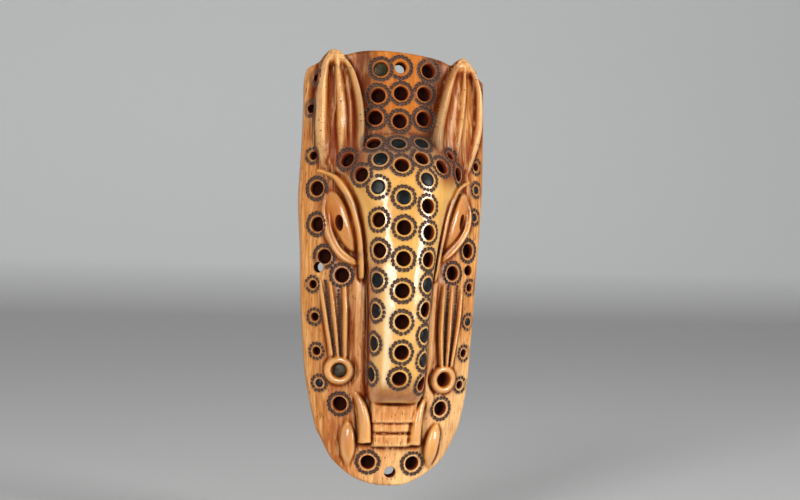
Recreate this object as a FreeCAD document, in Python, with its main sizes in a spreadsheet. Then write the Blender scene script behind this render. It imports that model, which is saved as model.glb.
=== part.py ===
import FreeCAD, Part
import math
import os

import Sketcher
from FreeCAD import Placement, Rotation, Vector

# Carved leopard-head mask: a bowed plate cut from a tusk, with a leopard's face in high
# relief on its front, drilled spots over the whole face, and round dark inlays that
# still sit in some of the spots.
#
# Frame: millimetres, +Z up towards the ears, the face looks along -Y, and X = 0 is the
# middle of the face.  The origin is the middle of the top cord hole's wall.

# --- driving dimensions: alias, value, meaning ---------------------------------------
SIZES = (
    ("plate_radius", 63.0, "front of the plate across the face"),
    ("long_radius", 560.0, "front of the plate along the face"),
    ("plate_thickness", 5.5, "wall of the plate"),
    ("middle_drop", 93.0, "top cord hole down to the middle of the plate"),
    ("corner_half_width", 43.2, "half width at the top corners"),
    ("left_corner_drop", 1.0, "top cord hole down to the left corner"),
    ("right_corner_drop", 4.0, "top cord hole down to the right corner"),
    ("top_edge_radius", 110.0, "bow of the top edge"),
    ("side_edge_radius", 850.0, "bow of each side edge"),
    ("chin_half_width", 38.0, "half width where the rounded end begins"),
    ("chin_drop", 148.0, "top cord hole down to where the rounded end begins"),
    ("chin_length", 46.5, "length of the rounded end"),
    ("cord_hole", 5.4, "bore of the top and bottom cord holes"),
    ("bottom_hole_drop", 188.1, "top cord hole down to the bottom one"),
    ("side_hole", 4.8, "bore of the two side cord holes"),
    ("side_hole_x", 35.7, "middle of the face to a side cord hole"),
    ("side_hole_drop", 93.6, "top cord hole down to the side cord holes"),
    ("ear_height", 8.0, "rim of an ear above the plate"),
    ("ear_rim", 3.6, "width of an ear's rim"),
    ("ear_trough", 3.6, "depth of an ear's hollow"),
    ("ear_spine", 3.4, "width of the ridge up an ear's middle"),
    ("ear_tip_x", 30.6, "middle of the face to an ear's tip"),
    ("ear_tip_rise", 6.4, "top cord hole up to an ear's tip"),
    ("ear_root_x", 34.0, "middle of the face to an ear's lower end"),
    ("ear_root_drop", 48.0, "top cord hole down to an ear's lower end"),
    ("ear_outer_bow", 8.2, "bow of an ear's outer edge"),
    ("ear_inner_bow", 15.8, "bow of an ear's inner edge"),
    ("brow_height", 6.4, "brow ridge above the plate"),
    ("brow_tip_x", 35.0, "middle of the face to a brow's upper end"),
    ("brow_tip_drop", 50.5, "top cord hole down to a brow's upper end"),
    ("brow_root_x", 17.2, "middle of the face to a brow's lower end"),
    ("brow_root_drop", 96.5, "top cord hole down to a brow's lower end"),
    ("brow_upper_bow", 8.8, "bow of a brow's edge next to the forehead"),
    ("brow_lower_bow", 5.0, "bow of a brow's edge next to the eye"),
    ("lid_height", 2.4, "lower eyelid above the plate"),
    ("lid_tip_drop", 58.0, "top cord hole down to an eyelid's upper end"),
    ("lid_root_drop", 91.0, "top cord hole down to an eyelid's lower end"),
    ("lid_tip_x", 31.5, "middle of the face to an eyelid's upper end"),
    ("lid_root_x", 18.5, "middle of the face to an eyelid's lower end"),
    ("lid_outer_bow", 8.0, "bow of an eyelid's outer edge"),
    ("lid_inner_bow", 4.4, "bow of an eyelid's edge next to the eye"),
    ("eye_radius", 6.2, "radius of an eyeball's swelling"),
    ("eye_half_length", 17.4, "half length of an eyeball's swelling"),
    ("eye_sink", 2.2, "axis of an eyeball below the plate's front"),
    ("eye_x", 25.6, "middle of the face to the middle of an eye"),
    ("eye_drop", 72.5, "top cord hole down to the middle of an eye"),
    ("eye_lean", 20.0, "lean of an eye, degrees"),
    ("pupil", 4.4, "bore of a pupil"),
    ("pupil_x", 29.0, "middle of the face to a pupil"),
    ("pupil_depth", 3.0, "depth of a pupil"),
    ("whisker_height", 2.0, "whisker ridges above the plate"),
    ("whisker_width", 1.5, "width of a whisker ridge"),
    ("whisker_top_drop", 101.0, "top cord hole down to the whiskers' upper ends"),
    ("whisker_top_x", 23.2, "middle of the face to the inmost whisker"),
    ("whisker_gap", 5.3, "whisker to whisker at their upper ends"),
    ("loop_x", 24.7, "middle of the face to a whisker loop"),
    ("loop_drop", 140.8, "top cord hole down to the left whisker loop"),
    ("loop_radius", 6.0, "outside of a whisker loop"),
    ("loop_height", 3.0, "whisker loop above the plate"),
    ("lip_height", 4.6, "mouth block above the plate"),
    ("lip_half_width", 10.2, "half width of the mouth block at the nose"),
    ("chin_lip_half_width", 8.4, "half width of the mouth block at the chin"),
    ("lip_top_drop", 154.0, "top cord hole down to the mouth block"),
    ("lip_bottom_drop", 175.4, "top cord hole down to the mouth block's lower edge"),
    ("groove_width", 2.2, "width of the grooves across the mouth"),
    ("groove_depth", 1.8, "depth of the grooves across the mouth"),
    ("upper_groove_drop", 164.2, "top cord hole down to the upper groove"),
    ("lower_groove_drop", 170.2, "top cord hole down to the lower groove"),
    ("fang_height", 5.8, "fangs above the plate"),
    ("upper_fang_root_radius", 1.2, "upper fang beside the nose"),
    ("upper_fang_end_radius", 3.2, "upper fang at its flat end"),
    ("upper_fang_length", 23.0, "length of an upper fang"),
    ("upper_fang_x", 11.8, "middle of the face to an upper fang's flat end"),
    ("upper_fang_drop", 173.8, "top cord hole down to an upper fang's flat end"),
    ("upper_fang_lean", 13.0, "lean of an upper fang, degrees"),
    ("upper_fang_dip", 5.0, "dip of an upper fang's root into the plate, degrees"),
    ("lower_fang_radius", 3.8, "radius of a lower fang"),
    ("lower_fang_sink", 0.9, "axis of a lower fang below the plate's front"),
    ("lower_fang_half_length", 9.0, "half length of a lower fang"),
    ("lower_fang_x", 19.8, "middle of the face to a lower fang"),
    ("lower_fang_drop", 174.4, "top cord hole down to a lower fang's middle"),
    ("right_drop", 2.6, "how much lower the right half's forms were carved"),
    ("rim_bevel", 1.2, "bevel of the plate's rim"),
    ("snout_shift", 0.6, "how far the snout leans off the middle"),
    ("big_spot", 7.0, "bore of a large spot"),
    ("small_spot", 4.4, "bore of a small spot"),
    ("loop_bore", 6.0, "bore of the hole in a whisker loop"),
    ("spot_depth", 4.0, "depth of a spot"),
    ("inlay_clearance", 0.1, "gap round an inlay in its spot"),
    ("inlay_sink", 0.5, "inlay's edge below the face around it"),
    ("inlay_crown", 0.4, "dome of an inlay's top"),
)

# Stations down the head, from the crown to the nose: alias stem, drop below the top cord
# hole, half width, height above the plate, and how deep the rounding of the top goes.
STATIONS = (
    ("crown_foot", 30.5, 14.0, 0.4, 3.4),
    ("crown_step", 35.0, 22.6, 5.4, 9.6),
    ("crown", 41.0, 30.6, 10.6, 18.4),
    ("forehead", 50.0, 28.0, 14.4, 20.0),
    ("brow_line", 62.0, 21.6, 16.2, 17.0),
    ("eye_line", 76.0, 17.6, 16.8, 13.0),
    ("bridge", 94.0, 15.4, 16.8, 10.4),
    ("snout", 118.0, 14.0, 16.4, 9.0),
    ("muzzle", 142.0, 13.2, 15.8, 8.6),
    ("nose", 150.0, 12.9, 13.8, 8.2),
    ("nose_tip", 155.0, 12.0, 9.4, 7.4),
)

# Spots: name, x, drop below the top cord hole, large or small, and what is left of the
# inlay: "open" has lost it, "full" holds it near the face, "deep" holds it low down.
BIG, SMALL, LOOP = "big_spot", "small_spot", "loop_bore"
SPOTS = (
    # plate between the ears, three rows
    ("crest_left", -9.2, 1.1, BIG, "deep"),
    ("crest_right", 13.6, 0.8, BIG, "open"),
    ("nape_upper_left", -10.4, 13.6, BIG, "open"),
    ("nape_upper_middle", 0.2, 12.2, BIG, "open"),
    ("nape_upper_right", 11.4, 11.9, BIG, "open"),
    ("nape_lower_left", -11.8, 24.0, BIG, "open"),
    ("nape_lower_middle", -0.4, 25.2, BIG, "open"),
    ("nape_lower_right", 11.0, 23.6, BIG, "open"),
    # slope of the crown
    ("crown_left", -13.2, 36.0, BIG, "open"),
    ("crown_middle", -2.0, 36.0, BIG, "full"),
    ("crown_right", 9.2, 35.4, BIG, "full"),
    ("temple_left", -24.8, 44.0, BIG, "open"),
    ("temple_right", 23.8, 40.4, SMALL, "open"),
    ("temple_far_right", 28.0, 49.0, BIG, "open"),
    # forehead
    ("forehead_upper_left", -11.0, 43.6, BIG, "full"),
    ("forehead_upper_middle", -1.6, 46.2, BIG, "open"),
    ("forehead_upper_right", 8.2, 42.6, BIG, "open"),
    ("forehead_far_right", 18.2, 46.0, BIG, "open"),
    ("forehead_far_left", -19.4, 51.0, BIG, "open"),
    ("forehead_lower_left", -12.4, 56.6, BIG, "full"),
    ("forehead_lower_middle", -1.2, 61.0, BIG, "full"),
    ("forehead_lower_right", 10.2, 52.4, BIG, "full"),
    ("bridge_right", 10.4, 64.6, BIG, "open"),
    # snout: a middle row and a row down each side
    ("snout_middle_1", -1.0, 74.6, BIG, "open"),
    ("snout_middle_2", -1.0, 88.6, BIG, "open"),
    ("snout_middle_3", -1.2, 103.0, BIG, "open"),
    ("snout_middle_4", -0.8, 117.0, BIG, "open"),
    ("snout_middle_5", -0.4, 130.8, BIG, "open"),
    ("snout_middle_6", -0.8, 142.8, BIG, "open"),
    ("snout_left_1", -12.2, 71.4, BIG, "open"),
    ("snout_left_2", -11.6, 85.2, BIG, "open"),
    ("snout_left_3", -11.6, 98.6, BIG, "full"),
    ("snout_left_4", -11.6, 112.4, BIG, "full"),
    ("snout_left_5", -11.4, 127.2, BIG, "full"),
    ("snout_left_6", -11.6, 141.4, BIG, "full"),
    ("snout_right_1", 11.0, 76.6, BIG, "open"),
    ("snout_right_2", 11.2, 88.8, BIG, "open"),
    ("snout_right_3", 11.4, 100.2, BIG, "full"),
    ("snout_right_4", 10.8, 111.4, BIG, "open"),
    ("snout_right_5", 11.0, 123.2, BIG, "full"),
    ("snout_right_6", 11.2, 134.4, BIG, "full"),
    ("snout_right_7", 11.2, 145.4, BIG, "open"),
    # left margin
    ("margin_left_1", -37.0, 5.6, SMALL, "open"),
    ("margin_left_2", -38.4, 19.8, SMALL, "open"),
    ("margin_left_3", -38.8, 42.0, SMALL, "open"),
    ("margin_left_4", -37.0, 57.2, BIG, "open"),
    ("margin_left_5", -36.4, 73.8, BIG, "open"),
    ("margin_left_6", -33.2, 88.6, BIG, "open"),
    ("margin_left_7", -25.4, 97.0, BIG, "open"),
    ("margin_left_8", -37.8, 101.6, SMALL, "open"),
    ("margin_left_9", -36.6, 116.6, SMALL, "open"),
    ("margin_left_10", -35.4, 132.4, SMALL, "open"),
    ("margin_left_11", -33.6, 147.2, SMALL, "full"),
    ("jaw_left", -24.4, 156.4, BIG, "open"),
    # right margin
    ("margin_right_1", 40.0, 7.6, SMALL, "open"),
    ("margin_right_2", 40.4, 22.6, SMALL, "open"),
    ("margin_right_3", 39.4, 44.4, SMALL, "open"),
    ("margin_right_4", 39.4, 55.4, SMALL, "full"),
    ("margin_right_5", 38.6, 68.4, SMALL, "full"),
    ("margin_right_6", 35.2, 84.4, BIG, "open"),
    ("margin_right_7", 27.0, 95.0, BIG, "open"),
    ("margin_right_8", 36.6, 101.6, SMALL, "open"),
    ("margin_right_9", 36.2, 117.8, SMALL, "full"),
    ("margin_right_10", 34.6, 132.6, SMALL, "open"),
    ("margin_right_11", 33.2, 147.6, SMALL, "open"),
    ("jaw_right", 23.4, 158.4, BIG, "open"),
    # whisker loops
    ("whisker_left", -25.4, 140.8, LOOP, "deep"),
    ("whisker_right", 23.8, 144.6, LOOP, "open"),
    # chin
    ("chin_left", -10.6, 183.4, BIG, "open"),
    ("chin_right", 10.4, 184.0, BIG, "open"),
)

DRILL_REACH = 6.0  # how far a drill stands out of the face before it enters
PRISM_REACH = 80.0  # outlines are cut through this far along Y, past the whole mask
SWEEP = 34.0  # degrees of the long radius that the blanks cover, past both ends
BLANK_ANGLE = math.radians(62.0)  # half the arc across a blank, wider than the plate
HOLLOW_ANGLE = math.radians(76.0)  # half the arc across the hollow, wider than a blank
SECTION_TAIL = 30.0  # a head section runs this far behind its front
DEEP_SINK = 2.2  # times the usual sink for an inlay that sits low down


class Size:
    """A length that knows both its number and the expression that drives it."""

    def __init__(self, value, text):
        self.value, self.text = float(value), text

    def __add__(self, other):
        other = as_size(other)
        return Size(self.value + other.value, f"({self.text} + {other.text})")

    def __sub__(self, other):
        other = as_size(other)
        return Size(self.value - other.value, f"({self.text} - {other.text})")

    def __mul__(self, factor):
        return Size(self.value * factor, f"({self.text} * {factor})")

    def __neg__(self):
        return self * -1


def as_size(item):
    return item if isinstance(item, Size) else Size(item, f"({item})")


ZERO = Size(0, "0")


doc = FreeCAD.newDocument("leopard_mask")
sheet = doc.addObject("Spreadsheet::Sheet", "Sizes")


def fill_sheet():
    """Writes every driving dimension into the sheet, one aliased cell to a line."""
    rows = list(SIZES)
    for stem, drop, half_width, height, rounding in STATIONS:
        rows += [
            (stem + "_drop", drop, "station down the head"),
            (stem + "_half_width", half_width, "its half width"),
            (stem + "_height", height, "its height above the plate"),
            (stem + "_rounding", rounding, "how deep its rounding goes"),
        ]
    for name, x, drop, _, _ in SPOTS:
        rows += [
            (name + "_x", x, "middle of the face to the spot"),
            (name + "_drop", drop, "top cord hole down to the spot"),
        ]
    for number, (alias, value, meaning) in enumerate(rows, start=1):
        sheet.set(f"A{number}", str(value))
        sheet.setAlias(f"A{number}", alias)
        sheet.set(f"B{number}", meaning)
    doc.recompute()


def size(alias):
    return Size(sheet.get(alias), f"Sizes.{alias}")


fill_sheet()
R = size("plate_radius")
LONG = size("long_radius")
WALL = size("plate_thickness")
MIDDLE = size("middle_drop")

# The long radius turns about an axis along X that lies this far behind the origin, so
# that the middle of the wall passes through the origin.
axis_y = Size(
    math.sqrt((LONG.value - WALL.value / 2) ** 2 - MIDDLE.value**2),
    f"sqrt(({LONG.text} - {WALL.text} / 2)^2 - {MIDDLE.text}^2)",
)


def plate_y(x, z, lift=0.0):
    """Y at x and z of the plate's front raised by lift."""
    across = R.value + lift
    ring = LONG.value - R.value + math.sqrt(across**2 - x**2)
    return axis_y.value - math.sqrt(ring**2 - (z + MIDDLE.value) ** 2)


def bind(obj, **sizes):
    """Sets properties of obj and ties each to the sheet."""
    for name, value in sizes.items():
        value = as_size(value)
        setattr(obj, name, value.value)
        obj.setExpression(name, value.text)
    return obj


def place(obj, x=0.0, y=0.0, z=0.0, rotation=None):
    """Puts obj at x, y, z, each tied to the sheet."""
    x, y, z = as_size(x), as_size(y), as_size(z)
    at = Vector(x.value, y.value, z.value)
    obj.Placement = Placement(at, rotation or Rotation())
    for axis, value in (("x", x), ("y", y), ("z", z)):
        obj.setExpression(f".Placement.Base.{axis}", value.text)
    return obj


def pin(sketch, geometry, point, x, z):
    """Holds a point of a sketch at x, z from its origin."""
    for kind, value in (("DistanceX", x), ("DistanceY", z)):
        value = as_size(value)
        constraint = Sketcher.Constraint(kind, -1, 1, geometry, point, value.value)
        number = sketch.addConstraint(constraint)
        sketch.setExpression(f"Constraints[{number}]", value.text)


def hold_radius(sketch, geometry, radius):
    number = sketch.addConstraint(Sketcher.Constraint("Radius", geometry, radius.value))
    sketch.setExpression(f"Constraints[{number}]", radius.text)


def face_sketch(name):
    """A sketch seen from the front: its x is X and its y is Z."""
    sketch = doc.addObject("Sketcher::SketchObject", name)
    sketch.Placement = Placement(Vector(), Rotation(Vector(1, 0, 0), 90))
    return sketch


def arc_through(start, end, bow):
    """An arc from start to end that bows to the left of that direction by bow."""
    start, end = Vector(*start, 0), Vector(*end, 0)
    along = (end - start).normalize()
    left = Vector(-along.y, along.x, 0)
    return Part.Arc(start, (start + end) * 0.5 + left * bow, end)


def bow_radius(start, end, bow):
    """The radius, with its expression, of an arc with that bow between two points."""
    dx, dz = as_size(end[0]) - start[0], as_size(end[1]) - start[1]
    chord2 = dx.value**2 + dz.value**2
    value = (chord2 / 4 + bow.value**2) / (2 * abs(bow.value))
    text = (
        f"(({dx.text}^2 + {dz.text}^2) / 4 + {bow.text}^2) / (2 * abs({bow.text}))"
    )
    return Size(value, text)


def curved_outline(name, start, end, first_bow, second_bow):
    """A closed sketch of two arcs between the same two points: a leaf or a crescent.
    Each bow is to the left of the way from start to end."""
    sketch = face_sketch(name)
    ends = [(start[0].value, start[1].value), (end[0].value, end[1].value)]
    for bow in (first_bow, second_bow):
        arc = sketch.addGeometry(arc_through(*ends, bow.value))
        # An arc keeps its own sense, so find which of its ends is the outline's start.
        at = sketch.getPoint(arc, 1)
        first = 1 if (at - Vector(*ends[0], 0)).Length < 1e-6 else 2
        pin(sketch, arc, first, *start)
        pin(sketch, arc, 3 - first, *end)
        hold_radius(sketch, arc, bow_radius(start, end, bow))
    return sketch


def prism(name, sketch):
    """The outline cut straight through along Y."""
    solid = doc.addObject("Part::Extrusion", name)
    solid.Base = sketch
    solid.DirMode = "Custom"
    solid.Dir = Vector(0, 1, 0)
    solid.LengthFwd = PRISM_REACH
    solid.LengthRev = PRISM_REACH
    solid.Solid = True
    return solid


def bowed_block(name, lift, half_angle=BLANK_ANGLE):
    """A solid whose front is the plate's front raised by lift."""
    radius = R + lift
    half_x = radius * math.sin(half_angle)
    back_y = radius * -math.cos(half_angle)
    sketch = doc.addObject("Sketcher::SketchObject", name + "_section")
    corners = [
        Vector(-half_x.value, back_y.value, 0),
        Vector(half_x.value, back_y.value, 0),
    ]
    front = sketch.addGeometry(
        Part.Arc(corners[0], Vector(0, -radius.value, 0), corners[1])
    )
    back = sketch.addGeometry(Part.LineSegment(corners[1], corners[0]))
    left = 1 if sketch.getPoint(front, 1).x < 0 else 2
    sketch.addConstraint(Sketcher.Constraint("Coincident", front, 3, -1, 1))
    sketch.addConstraint(Sketcher.Constraint("Coincident", back, 1, front, 3 - left))
    sketch.addConstraint(Sketcher.Constraint("Coincident", back, 2, front, left))
    sketch.addConstraint(Sketcher.Constraint("Horizontal", back))
    hold_radius(sketch, front, radius)
    pin_x = sketch.addConstraint(
        Sketcher.Constraint("DistanceX", -1, 1, back, 1, half_x.value)
    )
    sketch.setExpression(f"Constraints[{pin_x}]", half_x.text)
    place(sketch, y=axis_y - LONG + R, z=-MIDDLE)
    block = doc.addObject("Part::Revolution", name)
    block.Source = sketch
    block.Axis = Vector(1, 0, 0)
    block.Angle = SWEEP
    block.Symmetric = True
    block.Solid = True
    block.Base = Vector(0, axis_y.value, -MIDDLE.value)
    block.setExpression(".Base.y", axis_y.text)
    block.setExpression(".Base.z", (-MIDDLE).text)
    return block


def combine(kind, name, *objects):
    """A Part::MultiFuse, Part::MultiCommon or Part::Cut of the objects."""
    made = doc.addObject(f"Part::{kind}", name)
    if kind == "Cut":
        made.Base, made.Tool = objects
    else:
        made.Shapes = list(objects)
    return made


def raised(name, sketch, block):
    """The outline's prism up to the front of a block."""
    return combine("MultiCommon", name, prism(name + "_prism", sketch), block)


# --- the plate -----------------------------------------------------------------------
def plate_outline():
    """Bowed top edge, bowed sides and a half-ellipse at the chin."""
    corner, chin_x = size("corner_half_width"), size("chin_half_width")
    left_z, right_z = -size("left_corner_drop"), -size("right_corner_drop")
    chin_z, chin_length = -size("chin_drop"), size("chin_length")
    sketch = face_sketch("plate_outline")
    runs = (
        ((-corner, left_z), (corner, right_z), size("top_edge_radius")),
        ((corner, right_z), (chin_x, chin_z), size("side_edge_radius")),
        ((-chin_x, chin_z), (-corner, left_z), size("side_edge_radius")),
    )
    for start, end, radius in runs:
        chord = math.hypot(
            end[0].value - start[0].value, end[1].value - start[1].value
        )
        bow = radius.value - math.sqrt(radius.value**2 - chord**2 / 4)
        ends = [(p[0].value, p[1].value) for p in (start, end)]
        arc = sketch.addGeometry(arc_through(*ends, bow))
        first = 1 if abs(sketch.getPoint(arc, 1).y - ends[0][1]) < 1e-6 else 2
        pin(sketch, arc, first, *start)
        pin(sketch, arc, 3 - first, *end)
        hold_radius(sketch, arc, radius)
    ellipse = Part.Ellipse(
        Vector(0, chin_z.value - chin_length.value, 0),
        Vector(chin_x.value, chin_z.value, 0),
        Vector(0, chin_z.value, 0),
    )
    # The ellipse's long axis points down, so its parameter runs from side to side.
    arc = sketch.addGeometry(Part.ArcOfEllipse(ellipse, -math.pi / 2, math.pi / 2))
    sketch.exposeInternalGeometry(arc)
    pin(sketch, arc, 3, ZERO, chin_z)
    first = 1 if sketch.getPoint(arc, 1).x < 0 else 2
    pin(sketch, arc, first, -chin_x, chin_z)
    level = sketch.addConstraint(
        Sketcher.Constraint("DistanceY", -1, 1, arc, 3 - first, chin_z.value)
    )
    sketch.setExpression(f"Constraints[{level}]", chin_z.text)
    lowest = Vector(0, chin_z.value - chin_length.value, 0)
    tip = sketch.addGeometry(Part.Point(lowest), True)
    pin(sketch, tip, 1, ZERO, chin_z - chin_length)
    sketch.addConstraint(Sketcher.Constraint("PointOnObject", tip, 1, arc))
    return sketch


def carve_plate(hollow):
    """The bowed plate with its rim bevelled front and back."""
    front = raised("plate_blank", plate_outline(), bowed_block("plate_front", ZERO))
    shell = combine("Cut", "plate_shell", front, hollow)
    doc.recompute()
    edges = []
    for number, edge in enumerate(shell.Shape.Edges, start=1):
        middle = edge.valueAt((edge.FirstParameter + edge.LastParameter) / 2)
        ends = [v.Point for v in edge.Vertexes]
        across_wall = len(ends) == 2 and (ends[0] - ends[1]).Length < 2 * WALL.value
        if not across_wall and middle.Length > 0:
            edges.append(number)
    rim = doc.addObject("Part::Chamfer", "plate")
    rim.Base = shell
    bevel = size("rim_bevel").value
    rim.Edges = [(number, bevel, bevel) for number in edges]
    return rim


# --- the head: crown, forehead and snout ----------------------------------------------
def head_section(stem):
    """One station of the head: a half-ellipse over two straight walls, seen from above."""
    half, height = size(stem + "_half_width"), size(stem + "_height")
    rounding, z = size(stem + "_rounding"), -size(stem + "_drop")
    front_text = f"{axis_y.text} - sqrt({LONG.text}^2 - ({z.text} + {MIDDLE.text})^2)"
    front = Size(plate_y(0, z.value), front_text) - height
    sketch = doc.addObject("Sketcher::SketchObject", stem + "_section")
    place(sketch, x=size("snout_shift"), y=front, z=z)
    w, r, tail = half.value, rounding.value, SECTION_TAIL
    side, top, middle = Vector(w, r, 0), Vector(0, 0, 0), Vector(0, r, 0)
    ellipse = Part.Ellipse(*((side, top) if w >= r else (top, side)), middle)
    turn = ellipse.parameter(top)
    span = (turn - math.pi / 2, turn + math.pi / 2)
    arc = sketch.addGeometry(Part.ArcOfEllipse(ellipse, *span))
    shoulder, foot = rounding, Size(tail, str(tail))
    corners = ((half, shoulder), (half, foot), (-half, foot), (-half, shoulder))
    for start, end in zip(corners, corners[1:]):
        at = [Vector(p[0].value, p[1].value, 0) for p in (start, end)]
        wall = sketch.addGeometry(Part.LineSegment(*at))
        pin(sketch, wall, 1, *start)
        pin(sketch, wall, 2, *end)
    first = 1 if sketch.getPoint(arc, 1).x > 0 else 2
    pin(sketch, arc, 3, ZERO, rounding)
    pin(sketch, arc, first, half, shoulder)
    level = sketch.addConstraint(
        Sketcher.Constraint("DistanceY", -1, 1, arc, 3 - first, r)
    )
    sketch.setExpression(f"Constraints[{level}]", rounding.text)
    summit = sketch.addGeometry(Part.Point(top), True)
    pin(sketch, summit, 1, ZERO, ZERO)
    sketch.addConstraint(Sketcher.Constraint("PointOnObject", summit, 1, arc))
    return sketch


def carve_head():
    loft = doc.addObject("Part::Loft", "head_blank")
    loft.Sections = [head_section(row[0]) for row in STATIONS]
    loft.Solid = True
    loft.Ruled = False
    return loft


# --- forms raised on the plate ----------------------------------------------------------
SIDES = (("left", -1), ("right", 1))


def side_point(side, x_alias, drop_alias):
    """A point given by its distance off the middle and its drop; the right half of the
    face was carved a little lower than the left."""
    x, z = size(x_alias) * side, -size(drop_alias)
    return (x, z - size("right_drop") if side > 0 else z)


def arcs_outline(name, side, start, end, towards_middle, away):
    """An outline of two arcs whose bows are given towards and away from the middle."""
    return curved_outline(name, start, end, towards_middle * -side, away * -side)


def carve_ear(word, side, rim_block, trough_block, spine_block):
    """A leaf with a rim, a hollow inside it and a ridge up the middle."""
    root = side_point(side, "ear_root_x", "ear_root_drop")
    tip_x, tip_z = size("ear_tip_x") * side, size("ear_tip_rise")
    tip = (tip_x, tip_z - size("right_drop") * 0.5 if side > 0 else tip_z)
    rim, inner, outer = size("ear_rim"), size("ear_inner_bow"), size("ear_outer_bow")
    leaf = arcs_outline(f"ear_{word}_outline", side, tip, root, inner, -outer)
    whole = raised(f"ear_{word}_leaf", leaf, rim_block)
    inner_tip, inner_root = (tip[0], tip[1] - rim * 2.4), (root[0], root[1] + rim * 2.4)
    dish = arcs_outline(
        f"ear_{word}_dish_outline", side, inner_tip, inner_root, inner - rim, rim - outer
    )
    dish_prism = prism(f"ear_{word}_dish", dish)
    frame = combine("Cut", f"ear_{word}_rim", whole, dish_prism)
    floor = combine("MultiCommon", f"ear_{word}_floor", dish_prism, trough_block)
    ridge = size("ear_spine") * 0.5
    middle = (inner - outer) * 0.5
    top, foot = (inner_tip[0], inner_tip[1] - ridge), (inner_root[0], inner_root[1] + ridge)
    spine = arcs_outline(
        f"ear_{word}_spine_outline", side, top, foot, middle + ridge, middle - ridge
    )
    spine_solid = raised(f"ear_{word}_spine", spine, spine_block)
    return [frame, floor, spine_solid]


def carve_brow(word, side, block):
    tip = side_point(side, "brow_tip_x", "brow_tip_drop")
    root = side_point(side, "brow_root_x", "brow_root_drop")
    bows = size("brow_upper_bow"), size("brow_lower_bow")
    outline = arcs_outline(f"brow_{word}_outline", side, tip, root, *bows)
    return raised(f"brow_{word}", outline, block)


def carve_lid(word, side, block):
    tip = side_point(side, "lid_tip_x", "lid_tip_drop")
    root = side_point(side, "lid_root_x", "lid_root_drop")
    bows = -size("lid_inner_bow"), -size("lid_outer_bow")
    outline = arcs_outline(f"lid_{word}_outline", side, tip, root, *bows)
    return raised(f"lid_{word}", outline, block)


def on_plate(x, z, lift=0.0):
    """The way out of the plate, and the point at x, z on its front raised by lift."""
    step = 0.01
    dy_dx = (plate_y(x + step, z, lift) - plate_y(x - step, z, lift)) / (2 * step)
    dy_dz = (plate_y(x, z + step, lift) - plate_y(x, z - step, lift)) / (2 * step)
    out = Vector(dy_dx, -1, dy_dz).normalize()
    return out, Vector(x, plate_y(x, z, lift), z)


def plate_front_at(x, z):
    """plate_y at x, z as a Size, so that it can be bound."""
    ring = f"({LONG.text} - {R.text} + sqrt({R.text}^2 - {x.text}^2))"
    text = f"{axis_y.text} - sqrt({ring}^2 - ({z.text} + {MIDDLE.text})^2)"
    return Size(plate_y(x.value, z.value), text)


def lying_axes(x, z, lean):
    """Directions on the plate at x, z: across the face, out of it and along it, leaning."""
    out, _ = on_plate(x.value, z.value)
    up = Vector(math.sin(math.radians(lean)), 0, math.cos(math.radians(lean)))
    across = up.cross(out).normalize()
    return across, out, out.cross(across).normalize()


def carve_spindle(name, x, z, lean, radius, half_length, sink):
    """A pointed swelling lying partly in the plate: an eyeball or a lower fang."""
    profile = doc.addObject("Sketcher::SketchObject", name + "_profile")
    ends = (ZERO, -half_length), (ZERO, half_length)
    tips = [Vector(p[0].value, p[1].value, 0) for p in ends]
    bulge = Part.Arc(tips[0], Vector(radius.value, 0, 0), tips[1])
    arc = profile.addGeometry(bulge)
    axis = profile.addGeometry(Part.LineSegment(tips[1], tips[0]))
    pin(profile, axis, 1, *ends[1])
    pin(profile, axis, 2, *ends[0])
    low = 1 if profile.getPoint(arc, 1).y < 0 else 2
    pin(profile, arc, low, *ends[0])
    pin(profile, arc, 3 - low, *ends[1])
    hold_radius(profile, arc, bow_radius(*ends, radius))
    spindle = doc.addObject("Part::Revolution", name)
    spindle.Source = profile
    spindle.Axis = Vector(0, 1, 0)
    spindle.Base = Vector()
    spindle.Angle = 360.0
    spindle.Solid = True
    across, out, along = lying_axes(x, z, lean)
    turn = Rotation(across, along, out, "ZYX")
    return place(spindle, x, plate_front_at(x, z) + sink, z, turn)


def carve_upper_fang(word, side):
    """A tapering tooth with a flat lower end, half sunk in the plate."""
    x, z = side_point(side, "upper_fang_x", "upper_fang_drop")
    fang = doc.addObject("Part::Cone", f"upper_fang_{word}")
    bind(
        fang,
        Radius1=size("upper_fang_end_radius"),
        Radius2=size("upper_fang_root_radius"),
        Height=size("upper_fang_length"),
    )
    lean = size("upper_fang_lean").value * side
    lift = size("fang_height") - size("upper_fang_end_radius")
    dip = Rotation(Vector(1, 0, 0), -size("upper_fang_dip").value)
    across, out, along = lying_axes(x, z, lean)
    turn = Rotation(across, out * -1, along, "ZYX").multiply(dip)
    return place(fang, x, plate_front_at(x, z) - lift, z, turn)


def carve_whiskers(word, side, block):
    """Three ridges that run down the cheek and draw together at the loop."""
    loop_x = size("loop_x") * side
    _, loop_z = side_point(side, "loop_x", "loop_drop")
    half = size("whisker_width") * 0.5
    ridges = []
    for number, (spread, gather) in enumerate(((0, -0.5), (1, 0.1), (2, 0.7))):
        top_x = (size("whisker_top_x") + size("whisker_gap") * spread) * side
        low_x = loop_x + size("loop_radius") * (gather * side)
        top = (top_x, -size("whisker_top_drop"))
        low = (low_x, loop_z + size("loop_radius") * 0.7)
        outline = arcs_outline(f"whisker_{word}_{number}_outline", side, top, low, half, -half)
        ridges.append(raised(f"whisker_{word}_{number}", outline, block))
    loop = doc.addObject("Part::Torus", f"whisker_{word}_loop")
    tube = (size("loop_radius") - size("loop_bore") * 0.5) * 0.5
    bind(loop, Radius1=size("loop_radius") - tube, Radius2=tube)
    out, _ = on_plate(loop_x.value, loop_z.value)
    turn = Rotation(Vector(0, 0, 1), out)
    lift = size("loop_height") - tube
    place(loop, loop_x, plate_front_at(loop_x, loop_z) - lift, loop_z, turn)
    return ridges + [loop]


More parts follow.
